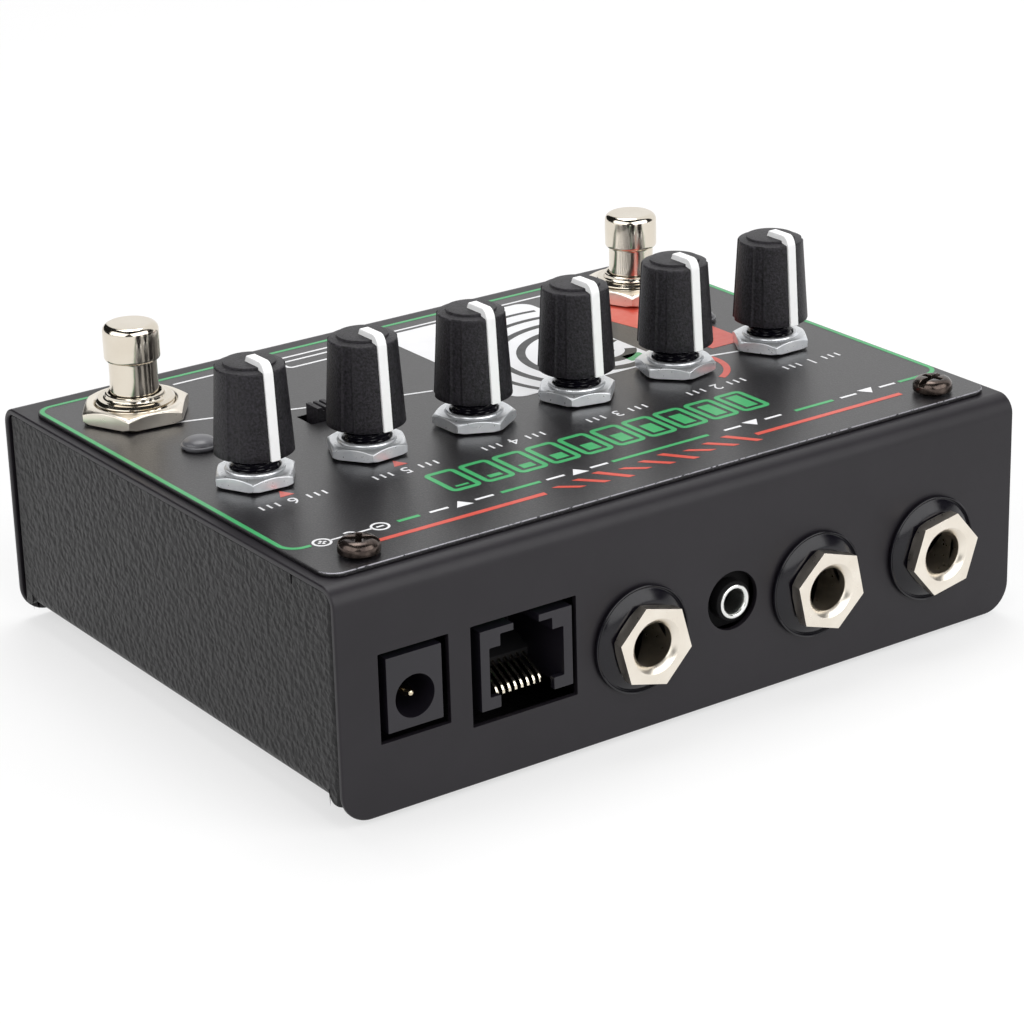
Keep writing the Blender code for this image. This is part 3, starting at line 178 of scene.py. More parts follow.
def arc(centre: Point, radius: float, start: float, end: float, chords: int) -> list[Point]:
    """Points on an arc.

    Args:
        centre: the arc's centre.
        radius: its radius.
        start: the first angle in degrees.
        end: the last angle in degrees.
        chords: how many chords it has.

    Returns:
        The points, both ends included.
    """
    turns = (math.radians(angle) for angle in steps(start, end, chords))
    return [(centre[0] + radius * math.cos(t), centre[1] + radius * math.sin(t)) for t in turns]


def circle(radius: float, sides: int = 64) -> list[Point]:
    """The corners of a round outline."""
    return arc((0, 0), radius, 0, 360, sides)[:-1]


def rounded(low: Point, high: Point, radius: float, chords: int = 10) -> list[Point]:
    """A rectangle between two corners with round corners.

    Args:
        low: its lowest corner.
        high: its highest corner.
        radius: the corners' radius.
        chords: how many chords each corner has.

    Returns:
        The outline, anticlockwise.
    """
    (left, right), (front, rear) = ((a + radius, b - radius) for a, b in zip(low, high))
    spots = ((right, rear), (left, rear), (left, front), (right, front))
    return [p for i, spot in enumerate(spots) for p in arc(spot, radius, 90 * i, 90 * i + 90, chords)]


def quarter(start: Point, end: Point, chords: int = 6, rising_first: bool = True) -> list[Point]:
    """A quarter ellipse between two points of a profile.

    Args:
        start: where it starts.
        end: where it ends.
        chords: how many chords it has.
        rising_first: whether it leaves the start along the profile's height.

    Returns:
        The points, both ends included.
    """
    points = []
    for turn in steps(0, math.pi / 2, chords):
        shares = (1 - math.cos(turn), math.sin(turn))
        across, along = shares if rising_first else shares[::-1]
        points.append((start[0] + (end[0] - start[0]) * across, start[1] + (end[1] - start[1]) * along))
    return points


def bent_sheet(corners: Sequence[Point], bend: float, sheet: float, chords: int = 10) -> list[Point]:
    """The outline of a sheet bent left by right angles.

    Args:
        corners: its outer corner points, both ends included.
        bend: the inner radius of each bend.
        sheet: the sheet's thickness.
        chords: how many chords each bend has.

    Returns:
        The outline, outer side first.
    """
    spots = [Vector(corner) for corner in corners]
    ways = [(b - a).normalized() for a, b in zip(spots, spots[1:])]
    outer, inner = [spots[0]], [spots[0] + ways[1] * sheet]
    for corner, before, after in zip(spots[1:], ways, ways[1:]):
        centre = corner + (after - before) * (bend + sheet)
        for turn in steps(0, math.pi / 2, chords):
            way = before * math.sin(turn) - after * math.cos(turn)
            outer.append(centre + way * (bend + sheet))
            inner.append(centre + way * bend)
    outer.append(spots[-1])
    inner.append(spots[-1] - ways[-2] * sheet)
    return [tuple(point) for point in outer + inner[::-1]]


def strip(path: Sequence[Point], thickness: float) -> list[Point]:
    """The outline of a thin strip.

    Args:
        path: the points along its middle.
        thickness: how thick it is.

    Returns:
        The outline, one side first.
    """
    sides: list[list[Point]] = [[], []]
    for i, (x, y) in enumerate(path):
        before, after = path[max(i - 1, 0)], path[min(i + 1, len(path) - 1)]
        way = Vector((after[0] - before[0], after[1] - before[1])).normalized() * thickness / 2
        sides[0].append((x - way.y, y + way.x))
        sides[1].append((x + way.y, y - way.x))
    return sides[0] + sides[1][::-1]


def sealed(mesh: Mesh) -> Mesh:
    """Merges doubles and turns the faces outwards.

    Args:
        mesh: a closed mesh.

    Returns:
        The same mesh.
    """
    bm = bmesh.new()
    bm.from_mesh(mesh)
    bmesh.ops.remove_doubles(bm, verts=bm.verts, dist=MERGE)
    bmesh.ops.recalc_face_normals(bm, faces=bm.faces)
    bm.to_mesh(mesh)
    bm.free()
    return mesh


def prism(outline: Sequence[Point], start: float, end: float, axis: Axis = Axis.Z) -> Mesh:
    """An outline pushed along an axis.

    Args:
        outline: its corners in the plane across the axis.
        start: where along the axis it starts.
        end: where it ends.
        axis: the way it is pushed.

    Returns:
        A closed mesh.
    """
    points = [tuple((a, b, at)[k] for k in axis.value) for at in (start, end) for a, b in outline]
    count = len(outline)
    faces = [tuple(range(count)), tuple(range(count, 2 * count))]
    faces += [(i, (i + 1) % count, (i + 1) % count + count, i + count) for i in range(count)]
    mesh = bpy.data.meshes.new("prism")
    mesh.from_pydata(points, [], faces)
    return sealed(mesh)


def block(low: Place, high: Place) -> Mesh:
    """A box between two corners, for cutting or for bevelling."""
    outline = [(low[0], low[1]), (high[0], low[1]), (high[0], high[1]), (low[0], high[1])]
    return prism(outline, low[2], high[2])


def rod(x: float, y: float, radius: float, low: float, high: float, sides: int = 64) -> Mesh:
    """An upright round prism."""
    return moved(prism(circle(radius, sides), low, high), (x, y, 0))


def moved(mesh: Mesh, place: Place, turn: Matrix | None = None) -> Mesh:
    """The mesh turned and then moved."""
    mesh.transform(Matrix.Translation(place) @ (turn or Matrix.Identity(4)))
    return mesh


def mirrored(mesh: Mesh, side: int, way: int) -> Mesh:
    """The mesh flipped across X or Y where side or way is -1."""
    return sealed(moved(mesh, (0, 0, 0), Matrix.Diagonal((side, way, 1, 1))))


def gathered(meshes: Iterable[Mesh]) -> Mesh:
    """Several meshes as one, without joining their faces.

    Args:
        meshes: the meshes, which are used up.

    Returns:
        One mesh without materials.
    """
    bm = bmesh.new()
    for mesh in meshes:
        bm.from_mesh(mesh)
        bpy.data.meshes.remove(mesh)
    made = bpy.data.meshes.new("gathered")
    bm.to_mesh(made)
    bm.free()
    return made


def linked(name: str, data: bpy.types.ID) -> Object:
    """A new object in the scene."""
    thing = bpy.data.objects.new(name, data)
    bpy.context.scene.collection.objects.link(thing)
    return thing


def evaluated(thing: Object, *others: Object) -> Mesh:
    """The mesh that an object's modifiers give. The object and its helpers are removed.

    Args:
        thing: the object with the modifiers.
        others: what the modifiers read.

    Returns:
        A plain mesh.
    """
    graph = bpy.context.evaluated_depsgraph_get()
    mesh = bpy.data.meshes.new_from_object(thing.evaluated_get(graph))
    for old in (thing, *others):
        bpy.data.objects.remove(old)
    return mesh


def combined(body: Mesh, tools: Iterable[Mesh], operation: str) -> Mesh:
    """The body after a Boolean with each tool in turn.

    Args:
        body: a closed mesh.
        tools: closed meshes, which are used up.
        operation: the Boolean's kind.

    Returns:
        A closed mesh.
    """
    thing = linked("body", body)
    others = [linked("tool", tool) for tool in tools]
    for other in others:
        modifier = thing.modifiers.new("Boolean", "BOOLEAN")
        modifier.solver = "EXACT"
        modifier.operation = operation
        modifier.object = other
    return sealed(evaluated(thing, *others))


def cut(body: Mesh, *tools: Mesh) -> Mesh:
    """The body without the tools."""
    return combined(body, tools, "DIFFERENCE")


def trimmed_to_hexagon(mesh: Mesh, across: float, edge: float) -> Mesh:
    """A turned piece cut to a hexagon with a corner along +X.

    Args:
        mesh: the turned piece.
        across: the size across the flats.
        edge: how wide its edges are rounded.

    Returns:
        The nut or ferrule.
    """
    corner = across / 2 / math.cos(math.pi / 6)
    tall = 50.0
    return eased(combined(mesh, [prism(circle(corner, 6), -tall, tall)], "INTERSECT"), edge)


def eased(mesh: Mesh, width: float, segments: int = 2, angle: float = 40) -> Mesh:
    """The mesh with its sharp edges rounded.

    Args:
        mesh: a closed mesh.
        width: how wide the rounding is.
        segments: how many faces it has across.
        angle: edges sharper than this many degrees are rounded.

    Returns:
        The rounded mesh.
    """
    bm = bmesh.new()
    bm.from_mesh(mesh)
    bmesh.ops.dissolve_limit(bm, angle_limit=FLAT_ANGLE, verts=bm.verts, edges=bm.edges, delimit={"NORMAL"})
    bm.to_mesh(mesh)
    bm.free()
    thing = linked("edged", mesh)
    modifier = thing.modifiers.new("Bevel", "BEVEL")
    modifier.width = width
    modifier.segments = segments
    modifier.limit_method = "ANGLE"
    modifier.angle_limit = math.radians(angle)
    modifier.use_clamp_overlap = False
    modifier.miter_outer = "MITER_ARC"
    return evaluated(thing)


# Node trees


def feed(node: Node, inputs: dict) -> Node:
    """Links or sets a node's inputs, by name or number.

    Args:
        node: the node.
        inputs: a socket to link or a value, by input.

    Returns:
        The node.
    """
    for key, value in inputs.items():
        if isinstance(value, NodeSocket):
            node.id_data.links.new(value, node.inputs[key])
        else:
            node.inputs[key].default_value = value
    return node


def add(tree: NodeTree, kind: str, inputs: dict | None = None, **settings: object) -> Node:
    """Adds a node with its settings, values and links.

    Args:
        tree: the tree it goes in.
        kind: its type.
        inputs: a value or a socket to link, by input name or number.
        settings: its own properties.

    Returns:
        The node.
    """
    node = tree.nodes.new(kind)
    for name, value in settings.items():
        setattr(node, name, value)
    return feed(node, inputs or {})


def sum_up(tree: NodeTree, operation: str, *values: object) -> NodeSocket:
    """The result of one Math node on numbers or sockets."""
    return add(tree, "ShaderNodeMath", dict(enumerate(values)), operation=operation).outputs[0]


def ranged(tree: NodeTree, value: NodeSocket, given: Point, wanted: Point = (0, 1)) -> NodeSocket:
    """A value's place between two given limits, as a number between two wanted ones."""
    limits = dict(zip(("From Min", "From Max", "To Min", "To Max"), (*given, *wanted)))
    return add(tree, "ShaderNodeMapRange", {"Value": value, **limits}).outputs[0]


def blended(tree: NodeTree, share: NodeSocket, first: object, second: object) -> NodeSocket:
    """A mix of two colours or colour sockets."""
    return add(tree, "ShaderNodeMix", {0: share, 6: first, 7: second}, data_type="RGBA").outputs[2]


def geometry_tree(name: str, **inputs: Sequence[str]) -> tuple[NodeTree, bpy.types.NodeOutputs]:
    """An empty geometry tree with named inputs.

    Args:
        name: the tree's name.
        inputs: the names of the inputs after the geometry, by their kind.

    Returns:
        The tree and its input sockets.
    """
    tree = bpy.data.node_groups.new(name, "GeometryNodeTree")
    tree.interface.new_socket("Geometry", in_out="INPUT", socket_type="NodeSocketGeometry")
    for kind, labels in inputs.items():
        for label in labels:
            tree.interface.new_socket(label, in_out="INPUT", socket_type=f"NodeSocket{kind}")
    tree.interface.new_socket("Geometry", in_out="OUTPUT", socket_type="NodeSocketGeometry")
    return tree, add(tree, "NodeGroupInput").outputs


def close_tree(tree: NodeTree, geometry: NodeSocket, material: NodeSocket) -> NodeTree:
    """Ends a geometry tree in Realize Instances and Set Material.

    Args:
        tree: the tree.
        geometry: what it made.
        material: the material that it is given.

    Returns:
        The tree.
    """
    real = add(tree, "GeometryNodeRealizeInstances", {0: geometry}).outputs[0]
    painted = add(tree, "GeometryNodeSetMaterial", {"Geometry": real, "Material": material})
    add(tree, "NodeGroupOutput", {0: painted.outputs[0]})
    return tree


def run_tree(mesh: Mesh, tree: NodeTree, values: dict[str, object], *others: Object) -> Mesh:
    """The mesh that a geometry tree makes of another.

    Args:
        mesh: what goes into the tree.
        tree: the geometry tree.
        values: its inputs by name.
        others: helper objects that it reads, removed afterwards.

    Returns:
        A plain mesh.
    """
    thing = linked(tree.name, mesh)
    modifier = thing.modifiers.new(tree.name, "NODES")
    modifier.node_group = tree
    for item in tree.interface.items_tree:
        if item.in_out == "INPUT" and item.name in values:
            modifier[item.identifier] = values[item.name]
    return evaluated(thing, *others)


def turned_tree() -> NodeTree:
    """A tree that turns a profile of (radius, 0, height) points round Z.

    It can cut a screw thread into part of the piece and press flutes into its side, the first one
    along +X.
    """
    tree, given = geometry_tree(
        "turned_piece",
        Int=("Segments", "Flutes"),
        Float=("Thread Pitch", "Thread Depth", "Thread Low", "Thread High", "Thread Inside",
               "Flute Depth", "Flute Share", "Flute Inner Radius", "Flute Outer Radius"),
        Material=("Material",),
    )

    def of(operation: str, *values: object) -> NodeSocket:
        """One Math node of this tree."""
        return sum_up(tree, operation, *values)

    source = given["Geometry"]
    rows = add(tree, "GeometryNodeAttributeDomainSize", {"Geometry": source}).outputs["Point Count"]
    columns = of("ADD", given["Segments"], 1)
    grid = add(tree, "GeometryNodeMeshGrid", {"Vertices X": columns, "Vertices Y": rows})
    index = add(tree, "GeometryNodeInputIndex").outputs[0]
    spoke = of("FLOOR", of("DIVIDE", of("ADD", index, 0.5), rows))
    row = of("SUBTRACT", index, of("MULTIPLY", spoke, rows))
    share = of("DIVIDE", spoke, given["Segments"])
    angle = of("MULTIPLY", share, math.tau)
    position = add(tree, "GeometryNodeInputPosition").outputs[0]
    inputs = {"Geometry": source, "Value": position}
    sampled = add(tree, "GeometryNodeSampleIndex", inputs, data_type="FLOAT_VECTOR")
    tree.links.new(row, sampled.inputs["Index"])
    parts = add(tree, "ShaderNodeSeparateXYZ", {0: sampled.outputs[0]}).outputs
    radius, height = parts[0], parts[2]

    turns = of("SUBTRACT", of("DIVIDE", height, given["Thread Pitch"]), share)
    groove = of("MULTIPLY", of("PINGPONG", turns, 0.5), given["Thread Depth"])
    above = of("GREATER_THAN", height, given["Thread Low"])
    below = of("LESS_THAN", height, given["Thread High"])
    outside = of("GREATER_THAN", radius, given["Thread Inside"])
    where = of("MULTIPLY", of("MULTIPLY", above, below), outside)
    radius = of("SUBTRACT", radius, of("MULTIPLY", groove, where))

    around = of("MULTIPLY", share, given["Flutes"])
    off = of("ABSOLUTE", of("SUBTRACT", around, of("ROUND", around)))
    edge = of("DIVIDE", given["Flute Share"], 2)
    limits = {"Value": off, "From Min": edge, "From Max": of("MULTIPLY", edge, 0.75)}
    pressed = add(tree, "ShaderNodeMapRange", limits, interpolation_type="SMOOTHSTEP").outputs[0]
    fade = ranged(tree, radius, (given["Flute Inner Radius"], given["Flute Outer Radius"]))
    depth = of("MULTIPLY", given["Flute Depth"], of("MULTIPLY", pressed, fade))
    radius = of("SUBTRACT", radius, depth)

    across, along = (of("MULTIPLY", radius, of(wave, angle)) for wave in ("COSINE", "SINE"))
    spot = add(tree, "ShaderNodeCombineXYZ", {0: across, 1: along, 2: height}).outputs[0]
    placed = add(tree, "GeometryNodeSetPosition", {"Geometry": grid.outputs["Mesh"], "Position": spot})
    merged = add(tree, "GeometryNodeMergeByDistance", {"Geometry": placed.outputs[0], "Distance": MERGE})
    return close_tree(tree, merged.outputs[0], given["Material"])


def repeat_tree() -> NodeTree:
    """A tree that sets a copy of a piece on each point, turned as the point's own turn says."""
    tree, given = geometry_tree("repeated_piece", Object=("Piece",), Material=("Material",))
    thing = add(tree, "GeometryNodeObjectInfo", {"Object": given["Piece"]}).outputs["Geometry"]
    turn = add(tree, "GeometryNodeInputNamedAttribute", {"Name": "turn"}, data_type="FLOAT_VECTOR")
    rotation = add(tree, "FunctionNodeEulerToRotation", {0: turn.outputs[0]}).outputs[0]
    inputs = {"Points": given["Geometry"], "Instance": thing, "Rotation": rotation}
    copies = add(tree, "GeometryNodeInstanceOnPoints", inputs)
    return close_tree(tree, copies.outputs[0], given["Material"])


def ribbon_tree() -> NodeTree:
    """A tree that lays a flat ribbon along lines, as a screen prints them."""
    tree, given = geometry_tree("printed_line", Float=("Width", "Thickness"), Material=("Material",))
    curve = add(tree, "GeometryNodeMeshToCurve", {"Mesh": given["Geometry"]}).outputs[0]
    level = add(tree, "GeometryNodeSetCurveNormal", {"Curve": curve}, mode="Z_UP").outputs[0]
    sizes = {"Width": given["Width"], "Height": given["Thickness"]}
    section = add(tree, "GeometryNodeCurvePrimitiveQuadrilateral", sizes).outputs[0]
    inputs = {"Curve": level, "Profile Curve": section, "Fill Caps": True}
    ribbon = add(tree, "GeometryNodeCurveToMesh", inputs)
    return close_tree(tree, ribbon.outputs[0], given["Material"])


# Finishes

MOTTLE_BAND = (0.35, 0.65)  # the noise over which a finish goes from its first colour to its second
SPECK_BAND = (0.54, 0.66)
GLOSS_BAND = (0.3, 0.7)
EDGE_BAND = (0.97, 0.8)  # how far a rounded normal leaves the true one where an edge is rubbed
PATCH_BAND = (0.4, 0.7)
RUBBED = (0.25, 0.9)  # the least and the most that an edge is rubbed
COAT_ROUGHNESS = 0.12


def linear(colour: str) -> tuple[float, float, float, float]:
    """An sRGB hex colour as linear values with full opacity."""
    parts = [int(colour[i : i + 2], 16) / 255 for i in (1, 3, 5)]
    return (*(p / 12.92 if p <= 0.04045 else ((p + 0.055) / 1.055) ** 2.4 for p in parts), 1.0)


def plain_material(name: str, inputs: dict[str, object]) -> Material:
    """A new material whose shader has a few values set.

    Args:
        name: the material's name.
        inputs: the values by the shader's inputs.

    Returns:
        The material.
    """
    made = bpy.data.materials.new(name)
    made.use_nodes = True
    feed(made.node_tree.nodes["Principled BSDF"], inputs)
    return made


@dataclass(frozen=True)
class Finish:
    """A surface whose colour, gloss and relief vary at real sizes in millimetres.

    Its relief is the fine noise of a rolled, plated or moulded skin unless a kind of finish has its own.
    """

    name: str
    colour: str
    mottle: str  # the other colour of its slow variation
    roughness: float
    gloss_spread: float = 0.05  # how far roughness varies
    metallic: float = 0.0
    mottle_size: float = 7.0
    grain: float = 0.35
    grain_depth: float = 0.003
    wear: str = ""  # what shows where an edge is rubbed
    wear_width: float = 0.2
    coat: float = 0.0
    reflect: float = 0.5  # the shader's specular level: a flatted paint has less than plain resin

    def material(self) -> Material:
        """The finish as a material, made the first time it is asked for."""
        found = bpy.data.materials.get(self.name)
        if found is not None:
            return found
        made = plain_material(self.name, {
            "Metallic": self.metallic,
            "Specular IOR Level": self.reflect,
            "Coat Weight": self.coat,
            "Coat Roughness": COAT_ROUGHNESS,
        })
        tree = made.node_tree
        spot = add(tree, "ShaderNodeTexCoord").outputs["Object"]
        slow = self.noise(tree, spot, self.mottle_size, 5)
        colour = blended(tree, self.share(tree, spot, slow), linear(self.colour), linear(self.mottle))
        if self.wear:
            colour = self.worn(tree, colour, slow)
        fine = self.noise(tree, spot, self.mottle_size / 5, 6)
        limits = (self.roughness - self.gloss_spread, self.roughness + self.gloss_spread)
        height = {"Height": self.relief(tree, spot), "Distance": self.grain_depth * MM}
        feed(tree.nodes["Principled BSDF"], {
            "Base Color": colour,
            "Roughness": ranged(tree, fine, GLOSS_BAND, limits),
            "Normal": add(tree, "ShaderNodeBump", height).outputs[0],
        })
        return made

    def noise(self, tree: NodeTree, spot: NodeSocket, size: float, detail: float) -> NodeSocket:
        """Smooth noise whose features are about that many millimetres across."""
        inputs = {"Vector": spot, "Scale": 1 / (size * MM), "Detail": detail}
        return add(tree, "ShaderNodeTexNoise", inputs).outputs[0]

    def share(self, tree: NodeTree, spot: NodeSocket, slow: NodeSocket) -> NodeSocket:
        """How much of the second colour shows."""
        return ranged(tree, slow, MOTTLE_BAND)

    def worn(self, tree: NodeTree, colour: NodeSocket, slow: NodeSocket) -> NodeSocket:
        """The colour with its rubbed edges: where a rounded normal leaves the true one.

        Args:
            tree: the material's tree.
            colour: the colour before wear.
            slow: the noise that makes the wear uneven.

        Returns:
            The worn colour.
        """
        round_normal = add(tree, "ShaderNodeBevel", {"Radius": self.wear_width * MM}, samples=4).outputs[0]
        normals = {0: round_normal, 1: add(tree, "ShaderNodeNewGeometry").outputs["Normal"]}
        dot = add(tree, "ShaderNodeVectorMath", normals, operation="DOT_PRODUCT").outputs["Value"]
        edge, patches = ranged(tree, dot, EDGE_BAND), ranged(tree, slow, PATCH_BAND, RUBBED)
        return blended(tree, sum_up(tree, "MULTIPLY", edge, patches), colour, linear(self.wear))

    def relief(self, tree: NodeTree, spot: NodeSocket) -> NodeSocket:
        """The height of the surface, from 0 to 1."""
        return self.noise(tree, spot, self.grain, 3)


@dataclass(frozen=True)
class WrinkleEnamel(Finish):
    """Wrinkle enamel: as it is stoved the skin shrinks into smooth raised worms and pits."""

    smoothness: float = 0.7
    push: float = 1.6  # the size of the noise that pushes the cells about, in cells

    def relief(self, tree: NodeTree, spot: NodeSocket) -> NodeSocket:
        """Smooth cells pushed about by noise, with a finer grain over them.

        Args:
            tree: the material's tree.
            spot: the place on the piece.

        Returns:
            The height.
        """
        inputs = {"Vector": spot, "Scale": 1 / (self.grain * self.push * MM)}
        push = {0: add(tree, "ShaderNodeTexNoise", inputs).outputs[1], 1: (self.grain * MM,) * 3}
        shift = add(tree, "ShaderNodeVectorMath", push, operation="MULTIPLY").outputs[0]
        bent = add(tree, "ShaderNodeVectorMath", {0: spot, 1: shift}, operation="ADD").outputs[0]
        inputs = {"Vector": bent, "Scale": 1 / (self.grain * MM), "Smoothness": self.smoothness}
        cells = add(tree, "ShaderNodeTexVoronoi", inputs, feature="SMOOTH_F1").outputs["Distance"]
        fine = sum_up(tree, "MULTIPLY", self.noise(tree, spot, self.grain / 3, 2), 0.25)
        return sum_up(tree, "ADD", cells, fine)


@dataclass(frozen=True)
class SpeckledFinish(Finish):
    """A skin broken by specks: paint run over bare metal, or, on the satin lacquer, lighter specks painted in
    as the sparkle of its sheen.
    """

    speck: float = 0.5

    def share(self, tree: NodeTree, spot: NodeSocket, slow: NodeSocket) -> NodeSocket:
        """Specks of the second colour."""
        return ranged(tree, self.noise(tree, spot, self.speck, 4), SPECK_BAND)


@dataclass(frozen=True)
class TracedBoard(Finish):
    """Solder mask over etched copper: a grid of traces shows as slightly lighter, raised lines."""

    pitch: float = 2.54

    def relief(self, tree: NodeTree, spot: NodeSocket) -> NodeSocket:
        """Brick-like cells of the traces' pitch."""
        inputs = {"Vector": spot, "Scale": 1 / (self.pitch * MM), "Mortar Size": 0.12, "Color1": (0, 0, 0, 1)}
        return add(tree, "ShaderNodeTexBrick", inputs).outputs["Fac"]


# Stoved satin enamel on folded steel: a flat black skin with a soft, low gloss and rubbed fold edges.
SATIN_ENAMEL = Finish("enamel_black_satin_stoved", "#1a171c", "#1d1a1f", 0.42, gloss_spread=0.02, grain=0.3,
                      grain_depth=0.006, wear="#302e32", wear_width=0.14, reflect=0.36)
# Stoved wrinkle enamel: the folds catch the light as short bright worms on a dull black ground.
WRINKLE_ENAMEL = WrinkleEnamel("enamel_black_wrinkle_stoved", "#0e0e0f", "#141315", 0.44, gloss_spread=0.03,
                               grain=0.95, grain_depth=0.32, wear="#2e2d2f", reflect=0.28)
# Stoved satin lacquer on sheet aluminium: black that turns to a grey sheen at a low angle, with lighter
# specks painted in as the sparkle of that sheen.
PLATE_LACQUER = SpeckledFinish("lacquer_black_satin_sprayed", "#080609", "#343236", 0.33, gloss_spread=0.05,
                               grain=0.3, grain_depth=0.03, mottle_size=0.6, reflect=0.76, speck=0.26)
# The lacquer's rubbed upper edge: bare metal, broken by black specks.
PLATE_EDGE = SpeckledFinish("aluminium_sheared_edge", "#96959b", "#39383c", 0.42, metallic=0.85)
# Spark-eroded moulded ABS: a fine grain that scatters the light, so the black looks slightly dusty.
KNOB_ABS = Finish("abs_black_moulded_grained", "#070608", "#29262c", 0.46, gloss_spread=0.08,
                  mottle_size=0.36, grain=0.26, grain_depth=0.07, wear="#232125", wear_width=0.16,
                  reflect=0.31)
# Plain moulded ABS inlay: a clean white strip, slightly rounded.
POINTER_ABS = Finish("abs_white_moulded", "#fbfbfb", "#ffffff", 0.36, grain=0.3, grain_depth=0.002)
# Glossy moulded polyamide: near black with a purple cast and sharp reflections.
COLLAR_PA = Finish("polyamide_black_moulded_glossy", "#0b0911", "#100e16", 0.22, gloss_spread=0.04, grain=1.4,
                   grain_depth=0.006, coat=0.1, reflect=0.33)
# Moulded polyester housings: dark, slightly rough, with fine flow marks.
HOUSING_PBT = Finish("polyester_black_moulded", "#141219", "#18151d", 0.4, gloss_spread=0.03, grain=0.25,
                     grain_depth=0.004)
# Matt polyester: so little gloss that the recess round the small socket stays black.
MATT_PBT = Finish("polyester_black_moulded_matt", "#0a0a0b", "#0d0c0e", 0.7, grain=0.25, grain_depth=0.004,
                  reflect=0.15)
# Zinc-nickel plate on turned steel, barrel plated: cool bright grey with soft dents from handling.
ZINC_NICKEL = Finish("steel_zinc_nickel_barrel_plated", "#f0f2f4", "#dfe2e6", 0.3, gloss_spread=0.03,
                     metallic=0.7, mottle_size=2.4, grain=1.6, grain_depth=0.002)
# Bright nickel on polished brass: a warm mirror with a faint polishing haze.
MIRROR_NICKEL = Finish("brass_nickel_plated_polished", "#e0d8ca", "#dad1c2", 0.13, gloss_spread=0.03,
                       metallic=1, mottle_size=5, grain=2.5, grain_depth=0.002)
# Nickel on turned brass: champagne-coloured, satin on the faces.
SATIN_NICKEL = Finish("brass_nickel_plated_turned", "#ece5d9", "#e4dccf", 0.3, gloss_spread=0.03, metallic=1,
                      mottle_size=4, grain=0.7, grain_depth=0.0008, wear="#f2ece2", wear_width=0.12)
# Bright chromium on drawn tube: a neutral mirror.
BRIGHT_CHROME = Finish("brass_chromium_plated_drawn", "#e9eae8", "#dfe0de", 0.22, gloss_spread=0.03,
                       metallic=1, grain=1.2, grain_depth=0.001)
# Tin-flashed spring wire: thin, bright and slightly yellow.
GOLD_WIRE = Finish("bronze_tin_flashed_drawn", "#efe8d8", "#e2d9c4", 0.16, metallic=1, grain=0.1,
                   grain_depth=0.001)
# Tinned spring brass in the power socket: warm and sharply bright.
TINNED_BRASS = Finish("brass_tinned_stamped", "#dcd3c0", "#bcae92", 0.13, metallic=1, grain=0.4)
# Blackened and oiled screw steel: brown-black metal, bared a little on its crown.
BLACK_STEEL = Finish("steel_blackened_oiled", "#5e534d", "#3a322f", 0.22, gloss_spread=0.08, metallic=0.9,
                     mottle_size=1.2, grain=0.6, grain_depth=0.012, wear="#8d7f76")
# Frosted acrylic lens over an unlit light: smoky grey.
FROSTED_LENS = Finish("acrylic_frosted_moulded", "#5c5c60", "#656569", 0.3, grain=0.4)
# Moulded rubber feet: matt black, slightly greyed.
FOOT_RUBBER = Finish("rubber_black_moulded", "#161616", "#1d1d1d", 0.8, grain=0.5, grain_depth=0.01)
# Solder mask on glass fibre: a deep, even green.
BOARD_MASK = TracedBoard("glass_fibre_board_masked_green", "#0f4a26", "#12552c", 0.3, grain_depth=0.03)


class Ink(Enum):
    """The screens in the order of printing, as two colours and a roughness.

    Each is an epoxy ink: flat, opaque colour that lies a little proud of the lacquer.
    """

    GREEN = ("#3aa261", "#41a867", 0.36)
    RED = ("#cf4a3a", "#d35242", 0.34)
    WHITE = ("#e8e8ea", "#eeeef0", 0.4)
    BLACK = ("#131214", "#171618", 0.38)

    @property
    def finish(self) -> Finish:
        """The ink as a finish."""
        name = f"epoxy_ink_{self.name.lower()}_screen_printed"
        return Finish(name, *self.value, grain=0.25, grain_depth=0.002)


# Pieces


def flat_faces_kept(mesh: Mesh) -> Mesh:
    """Smooth shading in which large flat faces keep their own normal beside a small rounded edge.

    Args:
        mesh: the finished mesh, which is used up.

    Returns:
        The mesh with its normals.
    """
    mesh.shade_smooth()
    mesh.set_sharp_from_angle(angle=SHARP_ANGLE)
    thing = linked("helper", mesh)
    weighted = thing.modifiers.new("weighted", "WEIGHTED_NORMAL")
    weighted.keep_sharp = True
    weighted.weight = 100
    return evaluated(thing)


def add_piece(name: str, mesh: Mesh, finish: Finish | None,
              nodes: Sequence[str] = (), body: str = Body.CASE.value) -> Object:
    """Sets a finished mesh on the pedal as one piece and reports it.

    Args:
        name: the piece's name.
        mesh: its mesh, in this script's sizes and place.
        finish: its finish, or None where the mesh has its own materials.
        nodes: the solids that it stands for.
        body: the frame's body that it rides on.

    Returns:
        The piece.
    """
    mesh.transform(TO_FRAME)
    if finish is not None:
        mesh.materials.clear()
        mesh.materials.append(finish.material())
    mesh = flat_faces_kept(mesh)
    mesh.name = name
    thing = linked(name, mesh)
    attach(thing, body)
    if nodes:
        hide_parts(*nodes)
    LOG.info("%s on %s, %d faces", name, body, len(mesh.polygons))
    return thing


def dress_node(node: str, finish: Finish) -> None:
    """Gives a solid that is shown as it is its finish.

    Args:
        node: the solid's name.
        finish: its finish.
    """
    thing = bpy.data.objects[node]
    for held in thing.material_slots:
        held.material = finish.material()
    LOG.info("%s keeps its solid", node)


def row(xs: Iterable[float], y: float, z: float = 0) -> list[Place]:
    """A place for each X, at one Y and Z."""
    return [(x, y, z) for x in xs]


def thread(pitch: float, depth: float, radius: float, low: float, high: float) -> dict[str, float]:
    """The values of a turned piece's screw thread."""
    names = ("thread_pitch", "thread_depth", "thread_inside", "thread_low", "thread_high")
    return dict(zip(names, (pitch, depth, radius - 0.1, low, high)))


